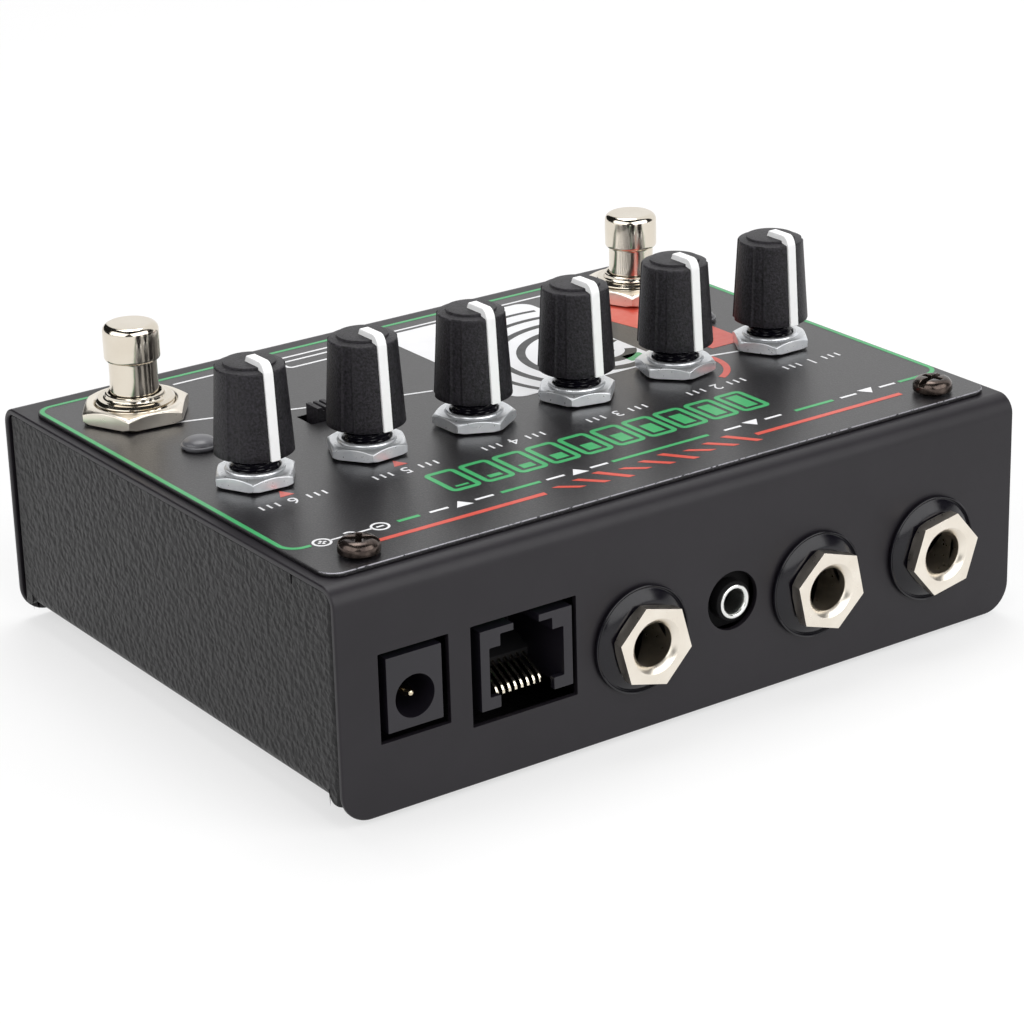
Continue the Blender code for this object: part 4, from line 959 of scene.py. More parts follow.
class Workshop:
    """Makes meshes with the geometry trees."""

    def __init__(self) -> None:
        """Builds the trees once."""
        self.turning = turned_tree()
        self.repeating = repeat_tree()
        self.printing = ribbon_tree()

    def turned(self, profile: Sequence[Point], finish: Finish, segments: int = 72, **values: float) -> Mesh:
        """A profile turned round Z.

        Args:
            profile: (radius, height) points; a profile off the axis repeats its first point at its end.
            finish: the piece's finish.
            segments: how many sides it has.
            values: inputs of the tree, by name with underscores.

        Returns:
            A closed mesh.
        """
        line = bpy.data.meshes.new("profile")
        edges = [(i, i + 1) for i in range(len(profile) - 1)]
        line.from_pydata([(r, 0, z) for r, z in profile], edges, [])
        inputs: dict[str, object] = {"Segments": segments, "Material": finish.material(), "Thread Pitch": 1.0,
                                     "Flutes": 1, "Flute Outer Radius": 1.0}
        inputs.update({name.replace("_", " ").title(): value for name, value in values.items()})
        return sealed(run_tree(line, self.turning, inputs))

    def repeated(self, piece: Mesh, places: Sequence[Place], finish: Finish,
                 turns: Sequence[Place] = ()) -> Mesh:
        """Copies of a piece at several places.

        Args:
            piece: the mesh that is repeated, which is used up.
            places: where its origin comes.
            finish: the copies' finish.
            turns: its X, Y and Z turns in degrees at each place, if it is turned.

        Returns:
            One mesh with all the copies.
        """
        points = bpy.data.meshes.new("places")
        points.from_pydata([tuple(place) for place in places], [], [])
        angles = [math.radians(angle) for turn in turns or [(0, 0, 0)] * len(places) for angle in turn]
        points.attributes.new("turn", "FLOAT_VECTOR", "POINT").data.foreach_set("vector", angles)
        thing = linked("helper", piece)
        return run_tree(points, self.repeating, {"Piece": thing, "Material": finish.material()}, thing)

    def add_set(self, name: str, piece: Mesh, places: Sequence[Place], finish: Finish, slot: Slot, node: str,
                turns: Sequence[Place] = ()) -> None:
        """Sets copies of a mesh on the case as one piece that stands for numbered solids.

        Args:
            name: the piece's name.
            piece: the mesh that is repeated, which is used up.
            places: where its origin comes.
            finish: the copies' finish.
            slot: the record's material slot that the finish comes from; not used.
            node: the solids' name before their number.
            turns: its X, Y and Z turns in degrees at each place, if it is turned.
        """
        nodes = [f"{node}_{i}" for i in range(1, len(places) + 1)]
        add_piece(name, self.repeated(piece, places, finish, turns), finish, nodes)

    def printed(self, lines: Sequence[Sequence[Point]], width: float, level: float, thickness: float,
                finish: Finish) -> Mesh:
        """Printed lines of one width.

        Args:
            lines: the points of each line.
            width: how wide they are.
            level: the height of their middle.
            thickness: how thick the ink is.
            finish: the ink.

        Returns:
            One mesh with all the lines.
        """
        points: list[Place] = []
        edges: list[tuple[int, int]] = []
        for line in lines:
            start = len(points)
            points += [(x, y, level) for x, y in line]
            edges += [(i, i + 1) for i in range(start, len(points) - 1)]
        mesh = bpy.data.meshes.new("lines")
        mesh.from_pydata(points, edges, [])
        values = {"Width": width, "Thickness": thickness, "Material": finish.material()}
        return sealed(run_tree(mesh, self.printing, values))


# Sub-assemblies


def recess(width: float, length: float, low: float, high: float) -> list[Mesh]:
    """Cutters for a cross in a screw's head."""
    sizes = ((length / 2, width / 2), (width / 2, length / 2))
    return [block((-x, -y, low), (x, y, high)) for x, y in sizes]


def top_cutters() -> list[Mesh]:
    """Holes through the shell's top and the faceplate alike."""
    low, high = LEVEL.ceiling - RUN_OUT, LEVEL.plate_top + RUN_OUT
    rows = (
        (PLACE.knob_xs, PLACE.knob_y, 3.8),
        (PLACE.switch_xs, PLACE.switch_y, 6.3),
        (PLACE.light_xs, PLACE.small_y, 2.5),
        (PLACE.plate_screw_xs, PLACE.plate_screw_y, 1.8),
    )
    holes = [rod(x, y, radius, low, high) for xs, y, radius in rows for x in xs]
    x, y, long, wide = PLACE.slide_x, PLACE.small_y, 4.5, 2.1
    return [*holes, block((x - long, y - wide, low), (x + long, y + wide, high))]


@dataclass
class Enclosure:
    """The folded shell, the tray in it, the feet and the screws under the base."""

    shop: Workshop
    sheet: float = 0.95
    bend: float = 1.9
    rim_edge: float = 0.3
    edge: float = 0.12
    foot_corner: float = 4.5
    round_openings: tuple[tuple[float, float, float], ...] = (
        *((x, LEVEL.jack_axis, 4.6) for x in PLACE.jack_xs),
        (PLACE.mini_x, PLACE.mini_z, 4.5),
    )  # middle and radius
    square_openings: tuple[tuple[float, float, float, float], ...] = (
        (PLACE.power_x, 5.7, 11.6, 24.85),
        (PLACE.modular_cutout_x, 8.885, 9.72, 24.8),
    )  # middle, half width, foot and top
    gap: float = 0.12
    tray_end: float = 60.5
    tray_sheet: float = 0.9
    tray_bend: float = 1.5
    fold_end: float = 43.4
    flange_bend: float = 0.3
    flange_reach: float = 4.0
    flange_foot: float = 3.4
    flange_round: float = 1.3
    tick: tuple[Point, ...] = ((35.95, 1.0), (36.6, 1.0), (36.38, -1.35), (36.15, -1.35))
    bracket_reach: float = 11.0
    bracket_rise: float = 6.5
    bracket_width: float = 9.0
    bracket_under: float = 4.3
    bracket_bend: float = 0.6
    pad: float = 0.3  # how far the thinner visible base lies above the feet's tops and the screws' seats
    foot_radius: float = 6.0
    foot_top_radius: float = 5.4
    foot_edge: float = 0.5
    foot_dish: tuple[Point, ...] = ((4.2, 0), (3.6, 0.25), (0, 0.3))
    foot_spots: tuple[Point, ...] = ((47.4, 33.05), (47.4, -33.05), (-47.4, 33.05), (-47.4, -33.05))
    screw_y: float = 39.6
    screw_radius: float = 1.5
    screw_top: float = 8.0
    head_radius: float = 2.7
    head_height: float = 1.4
    head_side: float = 0.5

    def build(self) -> None:
        """Makes every piece of the case."""
        add_piece("case_shell", self.shell(), SATIN_ENAMEL, ["shell"])
        add_piece("case_tray", self.tray(), WRINKLE_ENAMEL, ["chassis"])
        self.feet()
        self.screws()

    def shell(self) -> Mesh:
        """Top and both long walls with every opening, and a bracket inside each wall."""
        half, foot = LEVEL.half_depth, LEVEL.shell_foot
        corners = [(half, foot), (half, LEVEL.shell_top), (-half, LEVEL.shell_top), (-half, foot)]
        outline = bent_sheet(corners, self.bend, self.sheet)
        body = prism(outline, -LEVEL.half_length, LEVEL.half_length, Axis.X)
        body = eased(cut(body, *self.foot_corners()), self.rim_edge, 3)
        body = cut(body, *top_cutters(), *self.wall_cutters())
        return gathered([eased(body, self.edge), self.bracket(1), self.bracket(-1)])

    def tray(self) -> Mesh:
        """Base and ends folded from one sheet, with a flange at each upright edge and a tick in each end."""
        end, edge = self.tray_end, LEVEL.wall_inside - self.gap
        top, under = LEVEL.ceiling - self.gap, LEVEL.base_under
        corners = [(-end, top), (-end, under), (end, under), (end, top)]
        body = prism(bent_sheet(corners, self.tray_bend, self.tray_sheet), -edge, edge, Axis.Y)
        quarters = [(side, way) for side in (1, -1) for way in (1, -1)]
        low = (end - self.flange_reach - 1, self.fold_end, under - RUN_OUT)
        high = (end + RUN_OUT, edge + RUN_OUT, top + RUN_OUT)
        body = cut(body, *(mirrored(block(low, high), side, way) for side, way in quarters))
        flanges = [mirrored(self.flange(edge, top), side, way) for side, way in quarters]
        body = combined(body, flanges, "UNION")
        outline = [(y, top + z) for y, z in self.tick]
        reach = (end - RUN_OUT, end + RUN_OUT)
        ticks = [mirrored(prism(outline, *reach, Axis.X), side, side) for side in (1, -1)]
        hole = self.screw_radius + 0.2
        holes = [rod(PLACE.mini_x, way * self.screw_y, hole, 0, under + 2.7, 32) for way in (1, -1)]
        return eased(cut(body, *ticks, *holes), self.edge)

    def flange(self, edge: float, top: float) -> Mesh:
        """The upright bend at one corner of the tray, with its free rounded foot and its shoulder.

        Args:
            edge: how far the tray reaches along Y.
            top: the height of its ends.

        Returns:
            A closed mesh that runs a little into the end.
        """
        low, near, end = self.flange_foot, self.tray_end - self.flange_reach, self.tray_end
        corners = [(end, self.fold_end - RUN_OUT), (end, edge), (near, edge)]
        post = prism(bent_sheet(corners, self.flange_bend, self.tray_sheet), low, top)
        leg, curve, far = self.fold_end - 0.05, self.flange_round, 6.0
        foot = [(leg - far, low - far), (leg + curve, low - far)]
        foot += arc((leg + curve, low + curve), curve, 270, 180, 8)
        over = LEVEL.base_under + self.tray_bend + self.tray_sheet + 0.1
        foot += [(leg, over), (leg - far, over)]
        radius = self.bend - self.gap
        y, z = edge - radius, top - radius
        shoulder = [(y + far, z), *arc((y, z), radius, 0, 90, 10), (y, z + far), (y + far, z + far)]
        reach = (near - RUN_OUT, end + RUN_OUT)
        return cut(post, prism(foot, *reach, Axis.X), prism(shoulder, *reach, Axis.X))

    def foot_corners(self) -> list[Mesh]:
        """What is rounded off the lower corners of both walls."""
        cutters = []
        z, far = LEVEL.shell_foot + self.foot_corner, self.foot_corner + RUN_OUT
        reach = LEVEL.half_depth + RUN_OUT
        for side in (1, -1):
            x = side * (LEVEL.half_length - self.foot_corner)
            curve = [(x + side * px, z - pz) for px, pz in arc((0, 0), self.foot_corner, 0, 90, 12)]
            outline = [(x + side * far, z), *curve, (x, z - far), (x + side * far, z - far)]
            cutters.append(prism(outline, -reach, reach, Axis.Y))
        return cutters

    def wall_cutters(self) -> list[Mesh]:
        """Openings in the socket wall: jacks, mini, power and modular sockets."""
        near, far = LEVEL.wall_inside - RUN_OUT, LEVEL.half_depth + RUN_OUT
        holes = [moved(prism(circle(radius), near, far), (x, 0, z), ALONG_Y)
                 for x, z, radius in self.round_openings]
        return holes + [block((x - half, near, low), (x + half, far, high))
                        for x, half, low, high in self.square_openings]

    def bracket(self, edge: int) -> Mesh:
        """The angle in one long wall that the base is screwed to.

        Args:
            edge: 1 for the socket wall and -1 for the front wall.

        Returns:
            A closed mesh.
        """
        outer, under = LEVEL.wall_inside + SINK, self.bracket_under
        corners = [(LEVEL.wall_inside - self.bracket_reach, under), (outer, under)]
        corners.append((outer, under + self.bracket_rise))
        half = self.bracket_width / 2
        outline = [(y * edge, z) for y, z in bent_sheet(corners, self.bracket_bend, self.sheet)]
        return eased(prism(outline, PLACE.mini_x - half, PLACE.mini_x + half, Axis.X), self.edge)

    def feet(self) -> None:
        """Four stuck-on feet with a rounded tread and a shallow dish under each."""
        top, bevel = LEVEL.base_under - self.pad, 0.2
        profile = [(0, top), (self.foot_top_radius - bevel, top), (self.foot_top_radius, top - bevel)]
        profile += quarter((self.foot_radius, self.foot_edge), (self.foot_radius - self.foot_edge, 0), 5)
        foot = self.shop.turned([*profile, *self.foot_dish], FOOT_RUBBER, 64)
        places = [(x, y, 0) for x, y in self.foot_spots]
        self.shop.add_set("rubber_feet", foot, places, FOOT_RUBBER, Slot.RUBBER, "rubber_foot")

    def screws(self) -> None:
        """The two pan-head screws through the base."""
        top, radius, head = self.screw_top, self.screw_radius, self.head_radius
        seat = LEVEL.base_under - self.pad
        face, side = seat - self.head_height, seat - self.head_side
        profile = [(0, top), (radius - 0.3, top), (radius, top - 0.4)]
        profile += [(radius, z) for z in steps(top - 0.5, seat + 0.05, 48)]
        profile += [(head, seat), (head, side), *quarter((head, side), (head * 0.6, face), 6), (0, face)]
        values = thread(0.5, 0.25, radius, seat + 0.4, top - 0.5)
        screw = self.shop.turned(profile, BLACK_STEEL, 48, **values)
        screw = eased(cut(screw, *recess(0.9, 2.7, face - RUN_OUT, face + 0.9)), 0.05)
        places = [(PLACE.mini_x, self.screw_y, 0), (PLACE.mini_x, -self.screw_y, 0)]
        turns = [(0, 0, 20), (0, 0, 65)]
        self.shop.add_set("base_screws", screw, places, BLACK_STEEL, Slot.SCREW, "base_screw", turns)


@dataclass
class Faceplate:
    """The lacquered plate, what is printed on it, and its two screws."""

    shop: Workshop
    end: float = 59.2
    front: float = -40.8
    rear: float = 43.75
    corner: float = 2.8
    edge: float = 0.14
    ink_depth: float = 0.03
    border_end: float = 58.7
    border_front: float = -40.25
    sign_y: float = 33.0  # the border's last side, and the signs at the sockets
    border_round: float = 2.6
    dashes: tuple[Point, ...] = ((41.1, 37.5), (23.7, 16.9), (4.2, -13.4), (-29.9, -37.3))
    red_y: float = 37.2
    red_spans: tuple[Point, ...] = ((47.5, 19.0), (-19.0, -47.1))
    number_y: float = 17.0
    number_height: float = 2.3
    bar_low: float = 20.9
    bar_high: float = 28.3
    bar_width: float = 4.4
    bar_pitch: float = 5.85
    bar_inset: float = 1.1
    arrows: tuple[tuple[float, int], ...] = ((30.4, -1), (10.4, -1), (-21.8, 1), (-44.2, 1))
    ring_middle: Point = (-24.0, -8.0)
    wave: tuple[Point, ...] = ((48.9, -22.5), (44.5, -21.6), (40.0, -20.1), (34.0, -17.7), (28.0, -15.5),
                               (20.0, -12.8), (12.0, -10.4), (7.0, -9.0))
    tail: tuple[Point, ...] = ((-31.0, 4.2), (-36.0, 5.0), (-41.5, 6.2))
    screw_radius: float = 1.5
    screw_foot: float = 25.4
    head_radius: float = 3.0
    head_height: float = 2.0
    prints: dict[Ink, list[Mesh]] = field(default_factory=lambda: {ink: [] for ink in Ink})

    def build(self) -> None:
        """Makes the plate, its prints and its screws."""
        self.plate()
        self.border()
        self.dial_marks()
        self.bar_row()
        self.port_marks()
        self.echo_panel()
        for ink, meshes in self.prints.items():
            add_piece(f"print_{ink.name.lower()}", gathered(meshes), ink.finish)
        self.screws()

    def plate(self) -> None:
        """The plate with its rubbed rear edge."""
        outline = rounded((-self.end, self.front), (self.end, self.rear), self.corner, 12)
        body = eased(cut(prism(outline, LEVEL.plate_under, LEVEL.plate_top), *top_cutters()), self.edge)
        body.materials.clear()
        for finish in (PLATE_LACQUER, PLATE_EDGE):
            body.materials.append(finish.material())
        for face in body.polygons:
            at_rear = face.center.y > self.rear - self.corner and face.normal.y > 0.1
            face.material_index = int(at_rear and 0.25 < face.normal.z < 0.97)
        add_piece("plate", body, None, ["faceplate"])

    def draw(self, ink: Ink, lines: Sequence[Sequence[Point]], width: float, layer: int = 0) -> None:
        """Prints lines on the plate, or on the print under them."""
        level = LEVEL.plate_top + self.ink_depth * layer + (self.ink_depth - SINK) / 2
        self.prints[ink].append(self.shop.printed(lines, width, level, self.ink_depth + SINK, ink.finish))

    def fill(self, ink: Ink, outline: Sequence[Point], layer: int = 0) -> None:
        """Prints an area on the plate, or on the print under it."""
        top = LEVEL.plate_top + self.ink_depth * (layer + 1)
        self.prints[ink].append(prism(outline, top - self.ink_depth - SINK, top))

    def number(self, words: str, x: float) -> None:
        """Prints a plain number behind a dial, read from the front of the pedal.

        Args:
            words: the characters.
            x: the middle of the line.
        """
        curve = bpy.data.curves.new("number", "FONT")
        curve.body = words
        curve.align_x, curve.align_y = "CENTER", "CENTER"
        curve.size = self.number_height / 0.7
        curve.extrude = (self.ink_depth + SINK) / 2
        curve.resolution_u = 4
        place = (x, self.number_y, LEVEL.plate_top + (self.ink_depth - SINK) / 2)
        self.prints[Ink.WHITE].append(moved(evaluated(linked("helper", curve)), place))

    def border(self) -> None:
        """The green border round three sides, the dashes along the fourth, and the red line behind them."""
        turn, rear = self.border_round, self.sign_y
        right, front, back = self.border_end - turn, self.border_front + turn, rear - turn
        corners = ((right, back, 90), (right, front, 0), (-right, front, -90), (-right, back, 180))
        outline = [p for x, y, start in corners for p in arc((x, y), turn, start, start - 90, 10)]
        outline = [(right - 0.9, rear), *outline, (-50.4, rear)]
        self.draw(Ink.GREEN, [outline, *(((a, rear), (b, rear)) for a, b in self.dashes)], 0.72)
        self.draw(Ink.RED, [((a, self.red_y), (b, self.red_y)) for a, b in self.red_spans], 0.95)
        slant, width = 1.6, 1.15
        for i in range(9):
            x, reach = 15.5 - 3.9 * i, 1.2 + 0.55 * (i % 3)
            low, high = self.red_y - reach, self.red_y + reach
            self.fill(Ink.RED, [(x - slant, high), (x - slant - width, high), (x + slant - width, low),
                                (x + slant, low)])

    def dial_marks(self) -> None:
        """A row of numbers and ticks behind each dial, with a mark on the dials that have one."""
        low, high = self.number_y - 0.75, self.number_y + 0.75
        for i, x in enumerate(PLACE.knob_xs):
            self.number(str(len(PLACE.knob_xs) - i), x)
            for side in (-1, 1):
                xs = [x + side * (2.6 + 1.3 * k) for k in range(3)]
                self.draw(Ink.WHITE, [((at, low), (at, high)) for at in xs], 0.34)
        for x in (47.8, 28.6):
            self.fill(Ink.RED, [(x + 1.15, 14.9), (x, 12.7), (x - 1.15, 14.9)])
        x, y = PLACE.knob_xs[4], PLACE.knob_y
        self.draw(Ink.RED, [[(2 * x - px, py) for px, py in arc((x, y), 8.0, 65, -10, 24)]], 1.1)

    def bar_row(self) -> None:
        """Green outlined bars of one height, filled further from one to the next, as on a level meter."""
        count, inset = 10, self.bar_inset
        for i in range(count):
            right = 28.4 - self.bar_pitch * i
            left = right - self.bar_width
            box = rounded((left, self.bar_low), (right, self.bar_high), 0.7, 4)
            self.draw(Ink.GREEN, [[*box, box[0]]], 0.85)
            high = self.bar_high - inset
            low = high - (high - self.bar_low - inset) * (i + 1) / count
            left, right = left + inset, right - inset
            self.fill(Ink.GREEN, [(left, low), (right, low), (right, high), (left, high)])

    def port_marks(self) -> None:
        """Centre-negative marks at the power socket and an arrow at each signal socket."""
        y, plus = self.sign_y, 53.4
        rings = [arc((x, y), 1.25, 0, 360, 40) for x in (plus, 44.0)]
        bars = [((a, y), (b, y)) for a, b in ((52.1, 49.9), (47.9, 45.3), (44.6, 43.4))]
        self.draw(Ink.WHITE, [*rings, arc((48.9, y), 0.95, 60, 300, 16), *bars], 0.36)
        for across, along in ((0.65, 0.18), (0.18, 0.65)):
            self.fill(Ink.WHITE, [(plus - across, y - along), (plus + across, y - along),
                                  (plus + across, y + along), (plus - across, y + along)])
        for x, way in self.arrows:
            base = y - 0.9 * way
            corners = [(x - 1.4, base), (x + 1.4, base), (x, y + 1.1 * way)]
            self.fill(Ink.WHITE, corners if way > 0 else corners[::-1])
            self.draw(Ink.WHITE, [((x + 5.4, y), (x + 2.3, y)), ((x - 2.3, y), (x - 5.4, y))], 0.5)

    def echo_panel(self) -> None:
        """The printed field between the foot switches: rings that spread and fade."""
        self.fill(Ink.WHITE, rounded((-29.5, -36.0), (-0.8, 2.0), 2.4, 8))
        for i in range(6):
            radius = 5.0 + 3.7 * i
            ring = arc(self.ring_middle, radius, *self.panel_sweep(radius), 40)
            self.draw(Ink.BLACK, [ring], 1.9 - 0.22 * i, 1)
        self.fill(Ink.BLACK, arc(self.ring_middle, 2.4, 0, 360, 40)[:-1], 1)
        self.fill(Ink.GREEN, rounded((-28.4, -3.6), (-25.0, -0.8), 0.4, 3), 1)
        self.fill(Ink.RED, [(-38.5, 2.4), (-45.5, 2.4), (-45.5, -26.5), (-33.0, -26.5)])
        frame = [(36.6, -37.1), *arc((-45.0, -35.1), 2.0, -90, -180, 8)]
        window = rounded((6.5, -35.2), (18.4, -32.3), 0.8, 4)
        self.draw(Ink.WHITE, [frame, self.wave, [*window, window[0]], self.tail], 0.5)

    def panel_sweep(self, radius: float) -> tuple[float, float]:
        """The part of a ring that stays on the white field.

        Args:
            radius: the ring's radius.

        Returns:
            Its first and last angle in degrees.
        """
        x, y = self.ring_middle
        angles = [a for a in range(-180, 181, 2)
                  if -28.6 < x + radius * math.cos(math.radians(a)) < -1.7
                  and -35.1 < y + radius * math.sin(math.radians(a)) < 1.1]
        run = [angles[0]]
        best = run
        for a in angles[1:]:
            run = [*run, a] if a - run[-1] == 2 else [a]
            best = run if len(run) > len(best) else best
        return best[0], best[-1]

    def screws(self) -> None:
        """The two pan-head screws with a combined recess."""
        seat, shank, head = LEVEL.nut_seat, self.screw_radius, self.head_radius
        top, rim, bevel = seat + self.head_height, seat + self.head_height * 0.4, 0.15
        profile = [(0, top), *quarter((head, rim), (head * 0.55, top), 9)[::-1]]
        profile += [(head, seat + bevel), (head - bevel, seat), (shank, seat)]
        profile += [(shank, self.screw_foot), (0, self.screw_foot)]
        slot = block((-3.2, -0.5, top - 0.9), (3.2, 0.5, top + RUN_OUT))
        cross = recess(0.9, 3.4, top - 1.3, top + RUN_OUT)
        screw = eased(cut(self.shop.turned(profile, BLACK_STEEL, 64), slot, *cross), 0.07)
        places = row(PLACE.plate_screw_xs, PLACE.plate_screw_y)
        turns = [(0, 0, -34), (0, 0, 12)]
        self.shop.add_set("plate_screws", screw, places, BLACK_STEEL, Slot.SCREW, "faceplate_screw", turns)


@dataclass
class Dials:
    """Six dials with their pots and nuts. Each dial turns with its own body."""

    shop: Workshop
    radius: float = 5.9
    rim_radius: float = 5.1
    disc_radius: float = 3.8
    height: float = 13.5
    bore_radius: float = 3.3
    bore_depth: float = 10.3
    flutes: int = 6
    flute_depth: float = 0.2
    flute_share: float = 0.33
    pointer_width: float = 1.5
    pointer_rise: float = 0.9
    pointer_sink: float = 0.8
    pointer_proud: float = 0.2
    pot_half: Point = (4.75, 5.5)
    bushing_radius: float = 3.5
    bushing_top: float = 40.7
    bushing_bore: float = 2.7
    nut_across: float = 11.0
    nut_bore: float = 3.62
    nut_face: float = 1.8
    nut_corner: float = 6.5
    nut_ring: tuple[Point, ...] = ((3.62, 1.95), (3.8, 2.12), (4.15, 2.12), (4.3, 2.02), (4.36, 1.84),
                                   (4.5, 1.76), (4.72, 1.76), (4.84, 1.8))
    nut_turns: tuple[float, ...] = (56, 5, 33, 47, 13, 0)

    def build(self) -> None:
        """Makes the dials, pots and nuts."""
        for i, place in enumerate(row(PLACE.knob_xs, PLACE.knob_y, LEVEL.knob_seat), 1):
            body = f"dial_{i}"
            add_piece(f"dial_cap_{i}", moved(self.cap(), place), KNOB_ABS, [f"knob_{i}"], body)
            add_piece(f"dial_pointer_{i}", moved(self.pointer(), place), POINTER_ABS, body=body)
            dress_node(f"pot_shaft_{i}", ZINC_NICKEL)
        self.pots()
        self.nuts()

    def cap(self) -> Mesh:
        """A tapered dial with pressed flutes, a sloping rim and a raised disc, hollow for its shaft."""
        top, disc, rim = self.height, self.disc_radius, self.rim_radius
        bore, deep = self.bore_radius, self.bore_depth
        profile = [(0, top), (disc * 0.5, top), *quarter((disc, top - 0.1), (disc - 0.1, top), 3)[::-1]]
        profile += [(disc + 0.03, top - 0.36), (disc + 0.12, top - 0.38), (rim - 0.45, top - 0.53)]
        profile += quarter((rim + 0.02, top - 0.85), (rim - 0.3, top - 0.56), 5)[::-1]
        profile += [(rim + 0.02 + (self.radius - 0.02 - rim) * s, top - 0.85 - (top - 1.1) * s)
                    for s in steps(0.02, 1, 12)]
        profile += [(self.radius - 0.05, 0.1), (self.radius - 0.2, 0), (bore + 0.9, 0), (bore + 0.8, 0.9)]
        profile += [(bore, 0.9), (bore, deep), (0, deep)]
        mesh = self.shop.turned(profile, KNOB_ABS, 216, flutes=self.flutes, flute_depth=self.flute_depth,
                                flute_share=self.flute_share, flute_inner_radius=rim - 0.25,
                                flute_outer_radius=rim)
        return moved(mesh, (0, 0, 0), Matrix.Rotation(math.pi / 2, 4, "Z"))

    def pointer(self) -> Mesh:
        """The white strip from the disc's middle over the rim and down the side."""
        top, sink, proud = self.height, self.pointer_sink, self.pointer_proud
        crown, rim, half = top + self.pointer_rise, top - 0.55, self.pointer_width / 2
        bend = ((self.rim_radius - 1.2, crown), (self.rim_radius + proud + 0.03, rim - 0.7))
        outline = [(0, top - sink), (0, top), (0.45, crown), *quarter(*bend, 8, False)]
        outline += [(self.radius + proud, 0), (self.radius - sink, 0), (self.rim_radius - sink, rim - sink)]
        return eased(prism(outline, -half, half, Axis.X), 0.13, 3, 15)

    def pots(self) -> None:
        """Housings with their threaded bushings."""
        inner, outer, top, foot = self.bushing_bore, self.bushing_radius, self.bushing_top, LEVEL.parts_foot
        profile = [(inner, foot), (inner, top), (outer - 0.35, top), (outer, top - 0.3)]
        profile += [(outer, z) for z in steps(top - 0.35, 35.6, 66)] + [(outer, foot), (inner, foot)]
        bushing = self.shop.turned(profile, COLLAR_PA, 60, **thread(0.75, 0.62, outer, 35.8, top - 0.2))
        x, y = self.pot_half
        housing = eased(block((-x, -y, LEVEL.parts_floor), (x, y, LEVEL.parts_top)), 0.4)
        pot, places = gathered([housing, bushing]), row(PLACE.knob_xs, PLACE.knob_y)
        self.shop.add_set("pot_bodies", pot, places, COLLAR_PA, Slot.HOUSING, "pot_body")

    def nuts(self) -> None:
        """Chamfered nuts, each with a raised ring round its thread."""
        bore, corner, top, face = self.nut_bore, self.nut_corner, self.nut_face, self.nut_across / 2 * 0.97
        profile = [(bore, 0), *self.nut_ring, (face, top)]
        profile += [(corner, top - 0.58 * (corner - face)), (corner, 0.3), (corner - 0.6, 0), (bore, 0)]
        nut = trimmed_to_hexagon(self.shop.turned(profile, ZINC_NICKEL, 120), self.nut_across, 0.07)
        places = row(PLACE.knob_xs, PLACE.knob_y, LEVEL.nut_seat)
        turns = [(0, 0, turn) for turn in self.nut_turns]
        self.shop.add_set("pot_nuts", nut, places, ZINC_NICKEL, Slot.BRIGHT, "pot_nut", turns)


